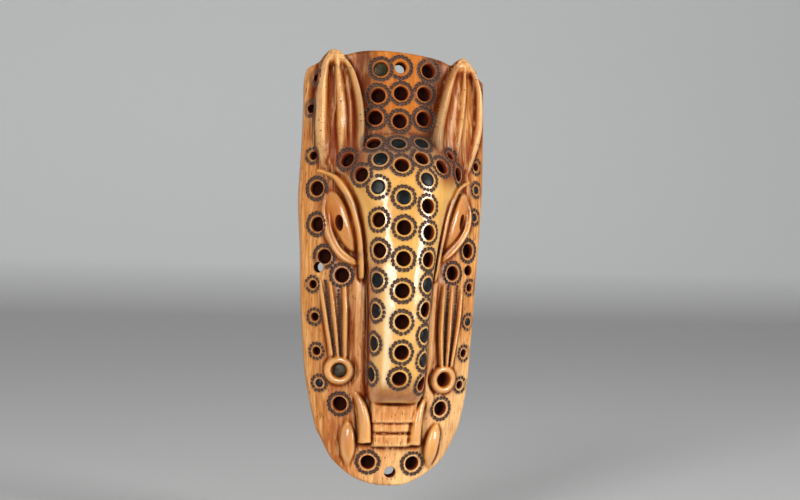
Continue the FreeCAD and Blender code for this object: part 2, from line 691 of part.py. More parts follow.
def carve_mouth(block, groove_block):
    """A raised block under the nose with two grooves across it."""
    top, bottom = -size("lip_top_drop"), -size("lip_bottom_drop")
    wide, narrow = size("lip_half_width"), size("chin_lip_half_width")
    corners = ((-wide, top), (wide, top), (narrow, bottom), (-narrow, bottom))
    sketch = face_sketch("mouth_outline")
    for number in range(4):
        ends = [corners[number], corners[(number + 1) % 4]]
        at = [Vector(p[0].value, p[1].value, 0) for p in ends]
        line = sketch.addGeometry(Part.LineSegment(*at))
        pin(sketch, line, 1, *ends[0])
        pin(sketch, line, 2, *ends[1])
    grooves = []
    width, depth = size("groove_width"), size("groove_depth")
    for word in ("upper", "lower"):
        groove = doc.addObject("Part::Box", f"{word}_groove")
        bind(groove, Length=wide * 4, Width=wide * 4, Height=width)
        z = -size(f"{word}_groove_drop") - width * 0.5
        place(groove, -(wide * 2), -(wide * 3), z)
        grooves.append(groove)
    full = raised("mouth_block", sketch, block)
    cut = combine("Cut", "mouth_lips", full, combine("MultiFuse", "grooves", *grooves))
    floor = raised("mouth_floor", sketch, groove_block)
    return [cut, floor]


def carve_forms():
    """Every raised form, each cut away behind the middle of the wall."""
    ear_height, trough = size("ear_height"), size("ear_trough")
    rim_block = bowed_block("ear_rim_block", ear_height)
    trough_block = bowed_block("ear_floor_block", ear_height - trough)
    spine_block = bowed_block("ear_spine_block", ear_height - trough * 0.4)
    brow_block = bowed_block("brow_block", size("brow_height"))
    lid_block = bowed_block("lid_block", size("lid_height"))
    whisker_block = bowed_block("whisker_block", size("whisker_height"))
    lip_height, groove = size("lip_height"), size("groove_depth")
    mouth_block = bowed_block("lip_block", lip_height)
    groove_block = bowed_block("groove_floor_block", lip_height - groove)
    forms = [carve_head()] + carve_mouth(mouth_block, groove_block)
    for word, side in SIDES:
        forms += carve_ear(word, side, rim_block, trough_block, spine_block)
        forms.append(carve_brow(word, side, brow_block))
        forms.append(carve_lid(word, side, lid_block))
        forms += carve_whiskers(word, side, whisker_block)
        forms.append(carve_upper_fang(word, side))
        eye_x, eye_z = side_point(side, "eye_x", "eye_drop")
        eye = size("eye_radius"), size("eye_half_length"), size("eye_sink")
        lean = size("eye_lean").value * side
        forms.append(carve_spindle(f"eyeball_{word}", eye_x, eye_z, lean, *eye))
        fang_x, fang_z = side_point(side, "lower_fang_x", "lower_fang_drop")
        fang = (
            size("lower_fang_radius"),
            size("lower_fang_half_length"),
            size("lower_fang_sink"),
        )
        forms.append(carve_spindle(f"lower_fang_{word}", fang_x, fang_z, 0.0, *fang))
    core = bowed_block("core", WALL * -0.5, HOLLOW_ANGLE)
    return [combine("Cut", form.Name + "_front", form, core) for form in forms]


# --- holes and inlays -------------------------------------------------------------------
def front_of(head, x, z):
    """Y of the face at x, z: the plate, or the head where the head stands proud of it."""
    line = Part.makeLine(Vector(x, -PRISM_REACH, z), Vector(x, 0, z))
    hits = [v.Y for v in head.common(line).Vertexes]
    return min(hits + [plate_y(x, z)])


def seat_on(head, x, z, radius):
    """The face's point at x, z and the mean way out of the face over that radius."""
    reach = radius * 0.7
    dy_dx = (front_of(head, x + reach, z) - front_of(head, x - reach, z)) / (2 * reach)
    dy_dz = (front_of(head, x, z + reach) - front_of(head, x, z - reach)) / (2 * reach)
    return Vector(x, front_of(head, x, z), z), Vector(dy_dx, -1, dy_dz).normalize()


def drill(name, bore, depth, at, out):
    """A cylinder that enters the face at a point and stops at its depth."""
    bit = doc.addObject("Part::Cylinder", name)
    bind(bit, Radius=bore * 0.5, Height=depth + DRILL_REACH)
    floor = at - out * depth.value
    bit.Placement = Placement(floor, Rotation(Vector(0, 0, 1), out))
    return bit


def cord_holes():
    """Name, x, z and bore of the four holes through the wall."""
    side_x, side_z = size("side_hole_x"), -size("side_hole_drop")
    return (
        ("top_cord_hole", ZERO, ZERO, size("cord_hole")),
        ("bottom_cord_hole", ZERO, -size("bottom_hole_drop"), size("cord_hole")),
        ("left_cord_hole", -side_x, side_z, size("side_hole")),
        ("right_cord_hole", side_x, side_z, size("side_hole")),
    )


def drill_all(head):
    """Every hole, with where each spot sits for the inlays."""
    bits, seats = [], {}
    for name, x, z, bore in cord_holes():
        half_wall = WALL.value / 2
        out, middle = on_plate(x.value, z.value, -half_wall)
        at = middle + out * half_wall
        bits.append(drill(name, bore, WALL + DRILL_REACH, at, out))
    for name, _, _, bore, _ in SPOTS:
        x, z = size(name + "_x"), -size(name + "_drop")
        at, out = seat_on(head, x.value, z.value, size(bore).value / 2)
        bits.append(drill(name, size(bore), size("spot_depth"), at, out))
        seats[name] = bits[-1].Placement
    for word, side in SIDES:
        x, z = size("pupil_x") * side, -size("eye_drop")
        rise = size("eye_radius").value - size("eye_sink").value
        out, at = on_plate(x.value, z.value, rise)
        bits.append(drill(f"pupil_{word}", size("pupil"), size("pupil_depth"), at, out))
    return combine("MultiFuse", "holes", *bits), seats


def turn_inlay(name, bore, sink, seat):
    """A round plug with a domed top, standing on its spot's floor."""
    radius = bore * 0.5 - size("inlay_clearance")
    edge = size("spot_depth") - sink
    top = edge + size("inlay_crown")
    sketch = doc.addObject("Sketcher::SketchObject", name + "_profile")
    sketch.Placement = Placement(Vector(), Rotation(Vector(1, 0, 0), 90))
    corners = ((ZERO, top), (ZERO, ZERO), (radius, ZERO), (radius, edge))
    for start, end in zip(corners, corners[1:]):
        at = [Vector(p[0].value, p[1].value, 0) for p in (start, end)]
        line = sketch.addGeometry(Part.LineSegment(*at))
        pin(sketch, line, 1, *start)
        pin(sketch, line, 2, *end)
    rise = (top - edge).value
    ball = (radius.value**2 + rise**2) / (2 * rise)
    middle_angle = (math.pi / 2 + math.asin((edge.value - top.value + ball) / ball)) / 2
    centre = top.value - ball
    halfway = Vector(
        ball * math.cos(middle_angle), centre + ball * math.sin(middle_angle), 0
    )
    dome = sketch.addGeometry(
        Part.Arc(
            Vector(radius.value, edge.value, 0), halfway, Vector(0, top.value, 0)
        )
    )
    first = 1 if sketch.getPoint(dome, 1).x > radius.value / 2 else 2
    pin(sketch, dome, first, radius, edge)
    pin(sketch, dome, 3 - first, ZERO, top)
    crown = size("inlay_crown")
    text = f"({radius.text}^2 + {crown.text}^2) / (2 * {crown.text})"
    hold_radius(sketch, dome, Size(ball, text))
    plug = doc.addObject("Part::Revolution", name)
    plug.Source = sketch
    plug.Axis = Vector(0, 0, 1)
    plug.Base = Vector()
    plug.Angle = 360.0
    plug.Solid = True
    plug.Placement = seat
    return plug


hollow = bowed_block("hollow", -WALL, HOLLOW_ANGLE)
blank = combine("MultiFuse", "undrilled_head", carve_plate(hollow), *carve_forms())
doc.recompute()
holes, seats = drill_all(doc.getObject("head_blank").Shape)
carved_head = combine("Cut", "carved_head", blank, holes)
parts = [carved_head]
for name, _, _, bore, state in SPOTS:
    if state == "open":
        continue
    sink = size("inlay_sink") * (DEEP_SINK if state == "deep" else 1.0)
    parts.append(turn_inlay("inlay_" + name, size(bore), sink, seats[name]))
doc.recompute()

broken = [
    f"{thing.Name}: {thing.State}"
    for thing in doc.Objects
    if {"Invalid", "Error"} & set(thing.State)
]
for part in parts:
    part.Label = part.Name
    if part.Shape.isNull() or not part.Shape.isValid():
        broken.append(f"{part.Name} has no valid shape")
    elif len(part.Shape.Solids) != 1:
        broken.append(f"{part.Name} has {len(part.Shape.Solids)} solids")
if broken:
    raise RuntimeError("; ".join(broken))
os.makedirs("parts", exist_ok=True)
for part in parts:
    part.Shape.exportStep(f"parts/{part.Label}.step")
print(f"{len(parts)} parts, head {carved_head.Shape.Volume / 1000:.1f} cm3")
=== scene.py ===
import math

import bpy
import numpy as np
from mathutils import Matrix, Vector


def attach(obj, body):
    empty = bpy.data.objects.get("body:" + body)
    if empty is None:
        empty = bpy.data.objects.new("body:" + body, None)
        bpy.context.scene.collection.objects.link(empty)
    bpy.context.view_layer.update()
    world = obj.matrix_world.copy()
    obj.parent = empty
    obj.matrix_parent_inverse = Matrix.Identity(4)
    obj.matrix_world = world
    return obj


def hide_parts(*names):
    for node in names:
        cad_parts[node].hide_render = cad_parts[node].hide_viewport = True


# A leopard's head carved on a bowed plate of tusk, set with rings of punched dots round
# drilled spots. Lengths are in millimetres until they go into a mesh. A place on the face is
# given by x, to the right, and drop, down from the top cord hole.

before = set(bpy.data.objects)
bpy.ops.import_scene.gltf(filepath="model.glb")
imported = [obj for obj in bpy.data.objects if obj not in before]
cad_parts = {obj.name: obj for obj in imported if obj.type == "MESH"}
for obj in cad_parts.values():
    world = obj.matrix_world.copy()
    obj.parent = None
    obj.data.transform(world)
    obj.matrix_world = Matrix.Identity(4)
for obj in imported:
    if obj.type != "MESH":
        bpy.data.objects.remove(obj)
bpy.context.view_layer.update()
MM = 0.001

# The bowed plate, as its solid is built: a bow along it, a tighter one across it, and a wall.
LONG_RADIUS = 560.0
CROSS_RADIUS = 63.0
WALL = 5.5
MIDDLE = 93.0
AXIS_Y = math.sqrt((LONG_RADIUS - WALL / 2) ** 2 - MIDDLE**2)

# How finely the face is cut: cells across, cells down, and cells to one facet of the back.
CELLS_ACROSS = 224
CELLS_DOWN = 496
BACK_STEP = 4
# The rim's round, and how many facets each quarter of it has.
RIM = 1.3
RIM_STEPS = 4

# The plate's edge as carved, through these places, left and right ones from the top down.
LEFT_EDGE = (
    (-41.0, 0.2), (-42.3, 6.2), (-42.6, 20.0), (-43.2, 39.3), (-44.1, 62.7), (-42.9, 85.9),
    (-42.2, 109.1), (-40.5, 132.3), (-38.4, 148.9), (-34.2, 167.4), (-32.0, 172.3),
)
RIGHT_EDGE = (
    (44.2, 3.4), (44.3, 9.0), (44.2, 20.0), (43.9, 35.7), (43.3, 59.8), (41.6, 83.7),
    (40.2, 102.8), (38.9, 126.5), (37.4, 150.0), (34.2, 166.0), (31.6, 172.3),
)
BOTTOM_EDGE = (
    (-32.0, 172.3), (-27.5, 181.1), (-23.8, 185.4), (-18.2, 189.9), (-12.2, 192.7),
    (-6.6, 194.1), (0.9, 194.6), (8.1, 193.8), (15.9, 190.3), (22.3, 185.8), (26.8, 180.9),
    (31.6, 172.3),
)
TOP_EDGE = (
    (-41.0, 0.2), (-38.4, -1.2), (-36.0, -2.6), (-34.4, -5.0), (-32.6, -7.0), (-30.4, -7.7),
    (-28.4, -6.9), (-26.4, -5.4), (-22.2, -6.3), (-16.9, -7.4), (-8.6, -7.8), (0.7, -7.3),
    (11.4, -6.2), (19.5, -4.9), (25.6, -3.0), (28.0, -5.0), (30.6, -6.4), (33.2, -5.4),
    (35.6, -2.8), (38.6, -0.2), (41.4, 1.6), (44.2, 3.4),
)

# Down the head: drop, left edge, right edge.
HEAD_EDGES = (
    (30.0, -26.0, 27.0), (40.0, -30.2, 31.4), (46.0, -30.6, 32.0), (52.0, -28.6, 30.4),
    (58.0, -24.4, 27.0), (64.0, -21.2, 23.4), (72.0, -18.8, 20.6), (80.0, -17.2, 18.6),
    (90.0, -15.8, 16.9), (100.0, -14.8, 15.7), (112.0, -14.1, 14.8), (131.0, -13.6, 14.0),
    (147.0, -13.2, 13.4), (151.0, -12.8, 12.9), (154.0, -12.0, 12.0), (157.0, -10.4, 10.4),
)
# Down the head's middle: drop, height above the plate, and how square its section is.
HEAD_HEIGHTS = (
    (31.0, 0.0, 2.0), (33.0, 2.8, 2.0), (35.5, 5.4, 2.0), (39.0, 8.2, 2.0), (43.0, 10.6, 2.05),
    (48.0, 12.7, 2.1), (54.0, 14.4, 2.2), (62.0, 15.7, 2.35), (75.0, 16.6, 2.7),
    (95.0, 16.8, 3.1), (118.0, 16.4, 3.3), (138.0, 15.6, 3.3), (146.0, 14.4, 3.0),
    (150.0, 12.6, 2.7), (153.0, 10.0, 2.5), (155.0, 6.8, 2.4), (156.2, 2.0, 2.4),
    (157.0, 0.0, 2.4),
)
# Across the snout, from its middle to its foot: how high it stands, flat on top and bevelled.
SNOUT_SECTION = (
    (0.0, 1.0), (0.2, 0.992), (0.34, 0.962), (0.46, 0.918), (0.58, 0.872), (0.7, 0.824),
    (0.8, 0.76), (0.88, 0.66), (0.94, 0.51), (0.98, 0.3), (1.0, 0.0),
)

# Each ear, from its tip down: drop, left edge, right edge and rim height.
LEFT_EAR = (
    (-7.6, -31.6, -29.4, 3.0), (-6.4, -33.0, -27.8, 5.2), (-3.6, -34.8, -25.2, 7.0),
    (1.0, -36.2, -22.4, 8.0), (8.0, -37.6, -19.8, 8.4), (18.0, -38.4, -17.7, 8.4),
    (30.0, -38.6, -16.9, 8.0), (36.0, -37.9, -17.2, 6.8), (41.0, -36.9, -18.0, 4.6),
    (45.0, -36.2, -19.6, 2.6), (49.0, -35.8, -21.4, 0.3),
)
RIGHT_EAR = (
    (-6.4, 30.0, 32.2, 3.0), (-5.2, 28.4, 33.8, 5.2), (-2.6, 26.6, 36.2, 7.0),
    (2.0, 23.8, 38.8, 8.0), (8.0, 21.0, 41.2, 8.4), (18.0, 17.8, 42.2, 8.4),
    (30.0, 15.2, 41.2, 8.0), (35.0, 15.2, 39.9, 6.8), (40.0, 16.8, 38.2, 4.6),
    (44.0, 19.0, 36.8, 2.6), (48.0, 21.8, 35.4, 0.3),
)
# Across an ear, from its left edge to its right: how high it stands, against its rim.
LEFT_EAR_SECTION = (
    (0.0, 0.0), (0.015, 0.62), (0.05, 0.9), (0.1, 1.0), (0.15, 0.95), (0.21, 0.68),
    (0.28, 0.42), (0.36, 0.34), (0.43, 0.38), (0.475, 0.7), (0.5, 0.76), (0.56, 0.66),
    (0.63, 0.52), (0.665, 0.4), (0.7, 0.5), (0.735, 0.5), (0.77, 0.44), (0.82, 0.62),
    (0.87, 0.94), (0.92, 1.0), (0.97, 0.84), (0.99, 0.5), (1.0, 0.0),
)
RIGHT_EAR_SECTION = (
    (0.0, 0.0), (0.015, 0.62), (0.05, 0.92), (0.1, 1.0), (0.15, 0.92), (0.2, 0.56),
    (0.26, 0.42), (0.36, 0.4), (0.45, 0.46), (0.485, 0.6), (0.51, 0.74), (0.535, 0.72),
    (0.56, 0.52), (0.62, 0.44), (0.76, 0.4), (0.82, 0.5), (0.87, 0.9), (0.92, 1.0),
    (0.97, 0.84), (0.99, 0.5), (1.0, 0.0),
)


def sized(sizes, *lines):
    """Ridges that follow lines: x, drop, half width and height at each point of each."""
    return tuple(tuple(place + size for place, size in zip(line, sizes)) for line in lines)


# Each kind of ridge: half widths and heights down it, then the left one's line and the right's.
BROWS = sized(
    ((0.5, 0.9), (0.9, 2.2), (1.3, 4.0), (1.8, 5.6), (2.0, 6.6), (2.0, 7.0), (2.0, 7.0),
     (1.9, 6.8), (1.7, 6.2), (1.5, 5.4), (1.4, 4.6), (1.2, 3.6)),
    ((-36.4, 48.9), (-33.2, 50.0), (-29.6, 52.0), (-26.4, 55.9), (-23.7, 60.8), (-21.6, 66.2),
     (-20.2, 71.6), (-18.9, 77.0), (-17.9, 82.9), (-17.3, 88.8), (-16.9, 94.4), (-16.7, 97.4)),
    ((35.0, 52.2), (31.6, 53.8), (28.8, 55.9), (26.1, 59.6), (23.9, 63.8), (22.2, 68.5),
     (21.1, 73.1), (20.2, 77.7), (19.3, 82.8), (18.6, 87.9), (17.9, 93.5), (17.3, 97.4)),
)
LIDS = sized(
    ((0.5, 0.6), (1.3, 2.0), (2.0, 2.8), (2.0, 3.0), (2.0, 3.0), (2.0, 3.0), (2.0, 2.8),
     (1.4, 2.4), (0.9, 1.4)),
    ((-33.6, 58.5), (-33.3, 63.0), (-32.9, 69.5), (-32.0, 75.5), (-30.4, 80.2), (-27.7, 85.2),
     (-24.2, 88.6), (-20.3, 90.7), (-17.6, 91.6)),
    ((33.4, 59.5), (34.4, 63.6), (34.7, 68.8), (33.6, 74.3), (31.1, 78.6), (27.8, 82.4),
     (24.4, 85.6), (21.4, 88.2), (18.6, 90.2)),
)
THIN = ((0.6, 1.2), (0.85, 2.3), (0.85, 2.5), (0.85, 2.5))
STOUT = ((0.8, 1.3), (1.15, 2.7), (1.15, 2.7), (1.05, 2.6))
# Whiskers from the left one to the right one: the inner two are stouter.
WHISKERS = (
    sized(
        THIN,
        ((-34.7, 99.8), (-33.2, 109.0), (-31.5, 119.0), (-28.9, 133.6)),
        ((-30.2, 100.6), (-28.8, 111.0), (-27.5, 121.2), (-26.1, 134.2)),
    )
    + sized(
        STOUT,
        ((-23.9, 102.0), (-23.5, 112.0), (-23.3, 121.0), (-23.0, 134.2)),
        ((22.4, 101.2), (21.8, 113.0), (21.6, 125.2), (22.6, 138.6)),
    )
    + sized(
        THIN,
        ((26.9, 101.2), (26.3, 113.0), (25.9, 125.2), (25.3, 137.6)),
        ((32.1, 101.9), (31.4, 112.0), (30.4, 121.7), (27.7, 138.2)),
    )
)
# The dotted bands between the whiskers: places down the middle of each.
WHISKER_BANDS = (
    ((-32.3, 100.0), (-30.4, 114.0), (-26.9, 133.4)),
    ((-27.0, 101.0), (-25.8, 116.0), (-24.5, 133.4)),
    ((24.7, 101.0), (24.1, 116.0), (24.1, 137.6)),
    ((29.6, 101.0), (28.6, 116.0), (26.8, 137.4)),
)
# Grooves at the snout's foot: x, drop, half width, depth.
LEFT_CHEEK_GROOVE = (
    (-21.4, 101.0, 0.8, 0.6), (-20.8, 108.0, 1.4, 1.5), (-20.4, 120.0, 1.5, 1.7),
    (-20.0, 131.0, 1.5, 1.7), (-18.6, 137.0, 1.5, 1.7), (-18.2, 142.0, 1.5, 1.6),
    (-20.4, 146.6, 1.3, 1.2), (-25.0, 148.6, 1.0, 0.8),
)
RIGHT_CHEEK_GROOVE = (
    (20.0, 100.0, 0.8, 0.8), (19.3, 108.0, 1.4, 1.7), (18.9, 120.0, 1.5, 1.9),
    (18.8, 132.0, 1.5, 1.9), (17.6, 139.0, 1.5, 1.9), (16.6, 144.6, 1.5, 1.8),
    (18.6, 150.2, 1.3, 1.4), (23.8, 152.4, 1.0, 0.9),
)
UPPER_FANGS = sized(
    ((0.8, 1.0), (1.8, 3.4), (2.5, 5.2), (2.9, 6.2), (3.1, 6.0)),
    ((-18.6, 150.4), (-16.4, 153.6), (-14.6, 158.1), (-13.3, 164.9), (-12.8, 174.0)),
    ((15.0, 152.6), (13.3, 155.8), (11.8, 160.3), (10.8, 167.2), (10.6, 175.0)),
)
LOWER_FANGS = sized(
    ((1.8, 1.6), (3.0, 3.6), (3.5, 4.5), (2.9, 3.5), (1.0, 0.8)),
    ((-20.6, 165.6), (-20.5, 168.6), (-20.3, 173.4), (-20.0, 179.4), (-19.7, 184.6)),
    ((21.4, 166.8), (20.7, 169.8), (19.6, 174.8), (18.9, 180.6), (18.6, 185.4)),
)
# Eyes: middle x, middle drop, half length, half width, lean, height.
EYES = ((-25.2, 72.4, 15.4, 5.7, 0.42, 5.4), (26.8, 70.8, 14.6, 5.6, -0.42, 5.4))
# Pupils: x and drop of each, and how wide and long they are.
PUPILS = ((-27.9, 73.1), (30.6, 71.1))
PUPIL_HALF_WIDTH = 2.4
PUPIL_HALF_LENGTH = 3.9
# The whiskers' loops: x and drop of each, and their ring's radius, half width and height.
LOOPS = ((-25.4, 140.8), (23.8, 144.6))
LOOP_MIDDLE = 4.9
LOOP_HALF_WIDTH = 1.7
LOOP_HEIGHT = 3.1

# Bore radii: of the big spots, the small ones and those in the whiskers' loops.
BIG, SMALL, LOOP = 3.4, 1.95, 3.35
# Spots, row by row: their names, and for each its x, its drop, how sooty it is around, and
# its bore where that isn't the big one.
SPOT_ROWS = (
    ("crest", "left right", (-9.2, 1.1, 0.9), (13.6, 0.8, 0.8)),
    ("nape_upper", "left middle right", (-10.4, 13.6, 0.7), (0.2, 12.2, 0.6), (11.4, 11.9, 0.7)),
    ("nape_lower", "left middle right", (-11.8, 24.0, 0.7), (-0.4, 25.2, 0.7), (11.0, 23.6, 0.7)),
    ("crown", "left middle right", (-13.2, 36.0, 0.9), (-2.0, 36.0, 1.0), (9.2, 35.4, 1.0)),
    ("temple", "left right far_right", (-24.8, 44.0, 0.5), (23.8, 40.4, 0.5, SMALL),
     (28.0, 49.0, 0.4)),
    ("forehead_upper", "left middle right", (-11.0, 43.6, 0.8), (-1.6, 46.2, 0.5),
     (8.2, 42.6, 0.6)),
    ("forehead_far", "right left", (18.2, 46.0, 0.4), (-19.4, 51.0, 0.4)),
    ("forehead_lower", "left middle right", (-12.4, 56.6, 0.35), (-1.2, 61.0, 0.25),
     (10.2, 52.4, 0.35)),
    ("bridge", "right", (10.4, 64.6, 0.2)),
    ("snout_middle", "1 2 3 4 5 6", (-1.0, 74.6, 0.35), (-1.0, 88.6, 0.35), (-1.2, 103.0, 0.35),
     (-0.8, 117.0, 0.35), (-0.4, 130.8, 0.35), (-0.8, 142.8, 0.35)),
    ("snout_left", "1 2 3 4 5 6", (-12.2, 71.4, 0.2), (-11.6, 85.2, 0.3), (-12.1, 98.6, 0.35),
     (-12.2, 112.4, 0.4), (-12.3, 127.2, 0.4), (-12.5, 141.4, 0.4)),
    ("snout_right", "1 2 3 4 5 6 7", (11.0, 76.6, 0.2), (11.2, 88.8, 0.3), (11.4, 100.2, 0.35),
     (10.8, 111.4, 0.35), (11.0, 123.2, 0.4), (11.2, 134.4, 0.4), (11.2, 145.4, 0.4)),
    ("margin_left", "1 2 3 4 5 6 7 8 9 10 11", (-37.2, 5.6, 0.5, SMALL),
     (-39.9, 19.8, 0.6, SMALL), (-38.8, 42.0, 0.6, SMALL), (-37.0, 57.2, 0.7),
     (-36.4, 73.8, 0.6), (-33.2, 88.6, 0.6), (-25.4, 97.0, 0.5), (-37.8, 101.6, 0.4, SMALL),
     (-36.6, 116.6, 0.4, SMALL), (-35.4, 132.4, 0.3, SMALL), (-33.6, 147.2, 0.5, SMALL)),
    ("jaw", "left", (-24.4, 156.4, 0.5)),
    ("margin_right", "1 2 3 4 5 6 7 8 9 10 11", (42.3, 7.6, 0.5, SMALL),
     (42.6, 22.6, 0.5, SMALL), (39.4, 44.4, 0.5, SMALL), (39.4, 55.4, 0.6, SMALL),
     (38.6, 68.4, 0.6, SMALL), (35.2, 84.4, 0.5), (27.0, 95.0, 0.5), (36.6, 101.6, 0.4, SMALL),
     (36.2, 117.8, 0.4, SMALL), (34.6, 132.6, 0.4, SMALL), (33.2, 147.6, 0.5, SMALL)),
    ("jaw", "right", (23.4, 158.4, 0.4)),
    ("whisker", "left right", (-25.4, 140.8, 0.0, LOOP), (23.8, 144.6, 0.0, LOOP)),
    ("chin", "left right", (-10.6, 183.4, 0.4), (10.4, 184.0, 0.4)),
)
# The spots whose inlays survive.
FILLED = (
    "crest_left", "crown_middle", "crown_right", "forehead_upper_left", "forehead_lower_left",
    "forehead_lower_middle", "forehead_lower_right", "snout_left_3", "snout_left_4",
    "snout_left_5", "snout_left_6", "snout_right_3", "snout_right_5", "snout_right_6",
    "margin_left_11", "margin_right_4", "margin_right_5", "margin_right_9", "whisker_left",
)
SPOTS = {}
for stem, names, *places in SPOT_ROWS:
    for name, (x, drop, soot, *bore) in zip(names.split(), places):
        SPOTS[stem + "_" + name] = (x, drop, bore[0] if bore else BIG, soot)
# Spots whose inlays lie deep, and spots that an ear stands close by.
DEEP_SET = ("whisker_left", "crest_left")
BY_AN_EAR = ("margin_left_1", "margin_left_2", "margin_right_1", "margin_right_2")
# How deep an empty spot is bored, and a filled one.
SPOT_DEPTH = 4.2
FILLED_DEPTH = 2.6
# Cord holes: x, drop and bore radius.
CORD_HOLES = ((0.0, 0.0, 2.7), (0.0, 188.1, 2.7), (-35.7, 93.6, 2.4), (35.7, 93.6, 2.4))
# Rings of dots: ring radius, dot radius and dots to the ring, by the spot's bore.
RINGS = {BIG: (5.14, 1.0, 18), SMALL: (3.55, 0.84, 13)}
# A dot is this deep where its radius is the second number, and deeper as it grows.
DOT_DEPTH, DOT_DEPTH_RADIUS = 0.62, 0.8
# Dots in a band: their radius, and how far it is from one to the next.
BAND_DOT = 0.78
BAND_STEP = 1.42

# How closely a line is followed, and how far from it what follows it can reach.
STEPS_BETWEEN = 32
LINE_POINTS = 90
REACH = 4.0
BROW_REACH = 5.0
BAND_REACH = 3.0
THINNEST = 0.05


def through(points, count):
    """A smooth line through the points, sampled evenly along its length."""
    p = np.array(points, float)
    q = np.vstack([2 * p[0] - p[1], p, 2 * p[-1] - p[-2]])
    t = np.linspace(0, 1, STEPS_BETWEEN, endpoint=False)[:, None]
    parts = []
    for a, b, c, d in zip(q, q[1:], q[2:], q[3:]):
        square = 2 * a - 5 * b + 4 * c - d
        cube = 3 * b - a - 3 * c + d
        parts.append(0.5 * (2 * b + (c - a) * t + square * t**2 + cube * t**3))
    line = np.vstack(parts + [p[-1:]])
    run = np.r_[0, np.cumsum(np.hypot(*np.diff(line[:, :2], axis=0).T))]
    at = np.linspace(0, run[-1], count)
    return np.column_stack([np.interp(at, run, line[:, k]) for k in range(line.shape[1])])


def eased(at, table, column):
    """A column of a table read smoothly between its rows."""
    rows = np.array(table, float)
    k, v = rows[:, 0], rows[:, column]
    m = np.gradient(v, k)
    at = np.clip(at, k[0], k[-1])
    i = np.clip(np.searchsorted(k, at) - 1, 0, len(k) - 2)
    h = k[i + 1] - k[i]
    t = (at - k[i]) / h
    return (
        (1 + 2 * t) * (1 - t) ** 2 * v[i]
        + t * (1 - t) ** 2 * h * m[i]
        + t * t * (3 - 2 * t) * v[i + 1]
        + t * t * (t - 1) * h * m[i + 1]
    )


def step(low, high, value):
    """0 on low's side, 1 on high's side, and smooth between, whichever is larger."""
    t = np.clip((value - low) / (high - low), 0, 1)
    return t * t * (3 - 2 * t)


def bell(offset, width, power=2):
    """1 where the offset is 0, falling away over about a width to either side."""
    return np.exp(-((offset / width) ** power))


def swell(q, flat=2.0):
    """A rounded top that falls to nothing at q = 1."""
    return np.maximum(1 - np.abs(q) ** flat, 0) ** (1 / flat)


def over(a, b, soft):
    """The higher of two surfaces, rounded where they meet."""
    join = np.sqrt((a - b) ** 2 + soft * soft)
    return 0.5 * (a + b + join) - 0.5 * soft * np.exp(-np.abs(a - b) / soft)


def along(x, drop, points, reach):
    """Distance across a line (right of it positive), beyond its ends, and what it carries."""
    line = through(points, LINE_POINTS)
    last = LINE_POINTS - 1
    far = reach + 1.0
    across = np.full(x.shape, far)
    beyond = np.zeros(x.shape)
    carried = np.zeros(x.shape + (line.shape[1] - 2,))
    low, high = line[:, :2].min(0) - far, line[:, :2].max(0) + far
    near = (x > low[0]) & (x < high[0]) & (drop > low[1]) & (drop < high[1])
    px, pd = x[near], drop[near]
    best = np.full(px.shape, np.inf)
    index = np.zeros(px.shape, int)
    for i, (lx, ld) in enumerate(line[:, :2]):
        gap = (px - lx) ** 2 + (pd - ld) ** 2
        closer = gap < best
        best[closer] = gap[closer]
        index[closer] = i
    tangent = np.gradient(line[:, :2], axis=0)
    pace = np.hypot(*tangent.T)
    tangent /= pace[:, None]
    ox, od = px - line[index, 0], pd - line[index, 1]
    tx, td = tangent[index].T
    ahead = ox * tx + od * td
    place = np.clip(index + ahead / pace[index], 0, last)
    across[near] = ox * td - od * tx
    before = np.where(index == 0, np.maximum(-ahead, 0), 0)
    beyond[near] = np.where(index == last, np.maximum(ahead, 0), before)
    for k in range(line.shape[1] - 2):
        carried[near, k] = np.interp(place, np.arange(LINE_POINTS), line[:, k + 2])
    return across, beyond, carried


def ridge_near(x, drop, points, reach=REACH):
    """Distances across a ridge's line, past its ends and from it, its half width and height."""
    side, past, carried = along(x, drop, points, reach)
    return side, past, np.hypot(side, past), carried[..., 0], carried[..., 1]


def eye_span(x, drop, eye):
    """How far out from an eye's middle a place lies, with 1 at its edge."""
    middle_x, middle_drop, half_length, half_width, lean, _ = eye
    u = (x - middle_x) * math.cos(lean) - (drop - middle_drop) * math.sin(lean)
    v = (x - middle_x) * math.sin(lean) + (drop - middle_drop) * math.cos(lean)
    return np.sqrt((v / half_length) ** 2 + (u / half_width) ** 2)


# ---------------------------------------------------------------- the carving

# An ear's trough opens this far below its tip, and is shallower towards its foot.
EAR_TIP_RIM = 4.6
EAR_OPENS = (0.6 * EAR_TIP_RIM, 2.0 * EAR_TIP_RIM)
EAR_ARCH = 3.0
EAR_SHALLOWS = (30.0, 50.0)
EAR_FOOT_HEIGHT = 0.82
EAR_INSIDE = (0.16, 0.86)


def ear(x, drop, edges, section):
    first, second, height = (eased(drop, edges, k) for k in (1, 2, 3))
    tip, foot = edges[0][0], edges[-1][0]
    across = np.clip((x - first) / (second - first), 0, 1)
    arch = swell(2 * across - 1, EAR_ARCH)
    opened = step(tip + EAR_OPENS[0], tip + EAR_OPENS[1], drop)
    share = arch + (eased(across, section, 1) - arch) * opened
    inside = (across > EAR_INSIDE[0]) * (across < EAR_INSIDE[1])
    shallow = step(*EAR_SHALLOWS, drop)
    share = share + shallow * (np.minimum(arch, EAR_FOOT_HEIGHT) - share) * inside
    on_ear = (drop > tip) & (drop < foot) & (across > 0) & (across < 1)
    return np.where(on_ear, height * share, 0)


# The crown's start curves over these drops, and the snout takes its section over these.
CROWN_CURVE = 0.0072
CROWN_CURVED = (80.0, 45.0)
SNOUT_FROM = (66.0, 96.0)


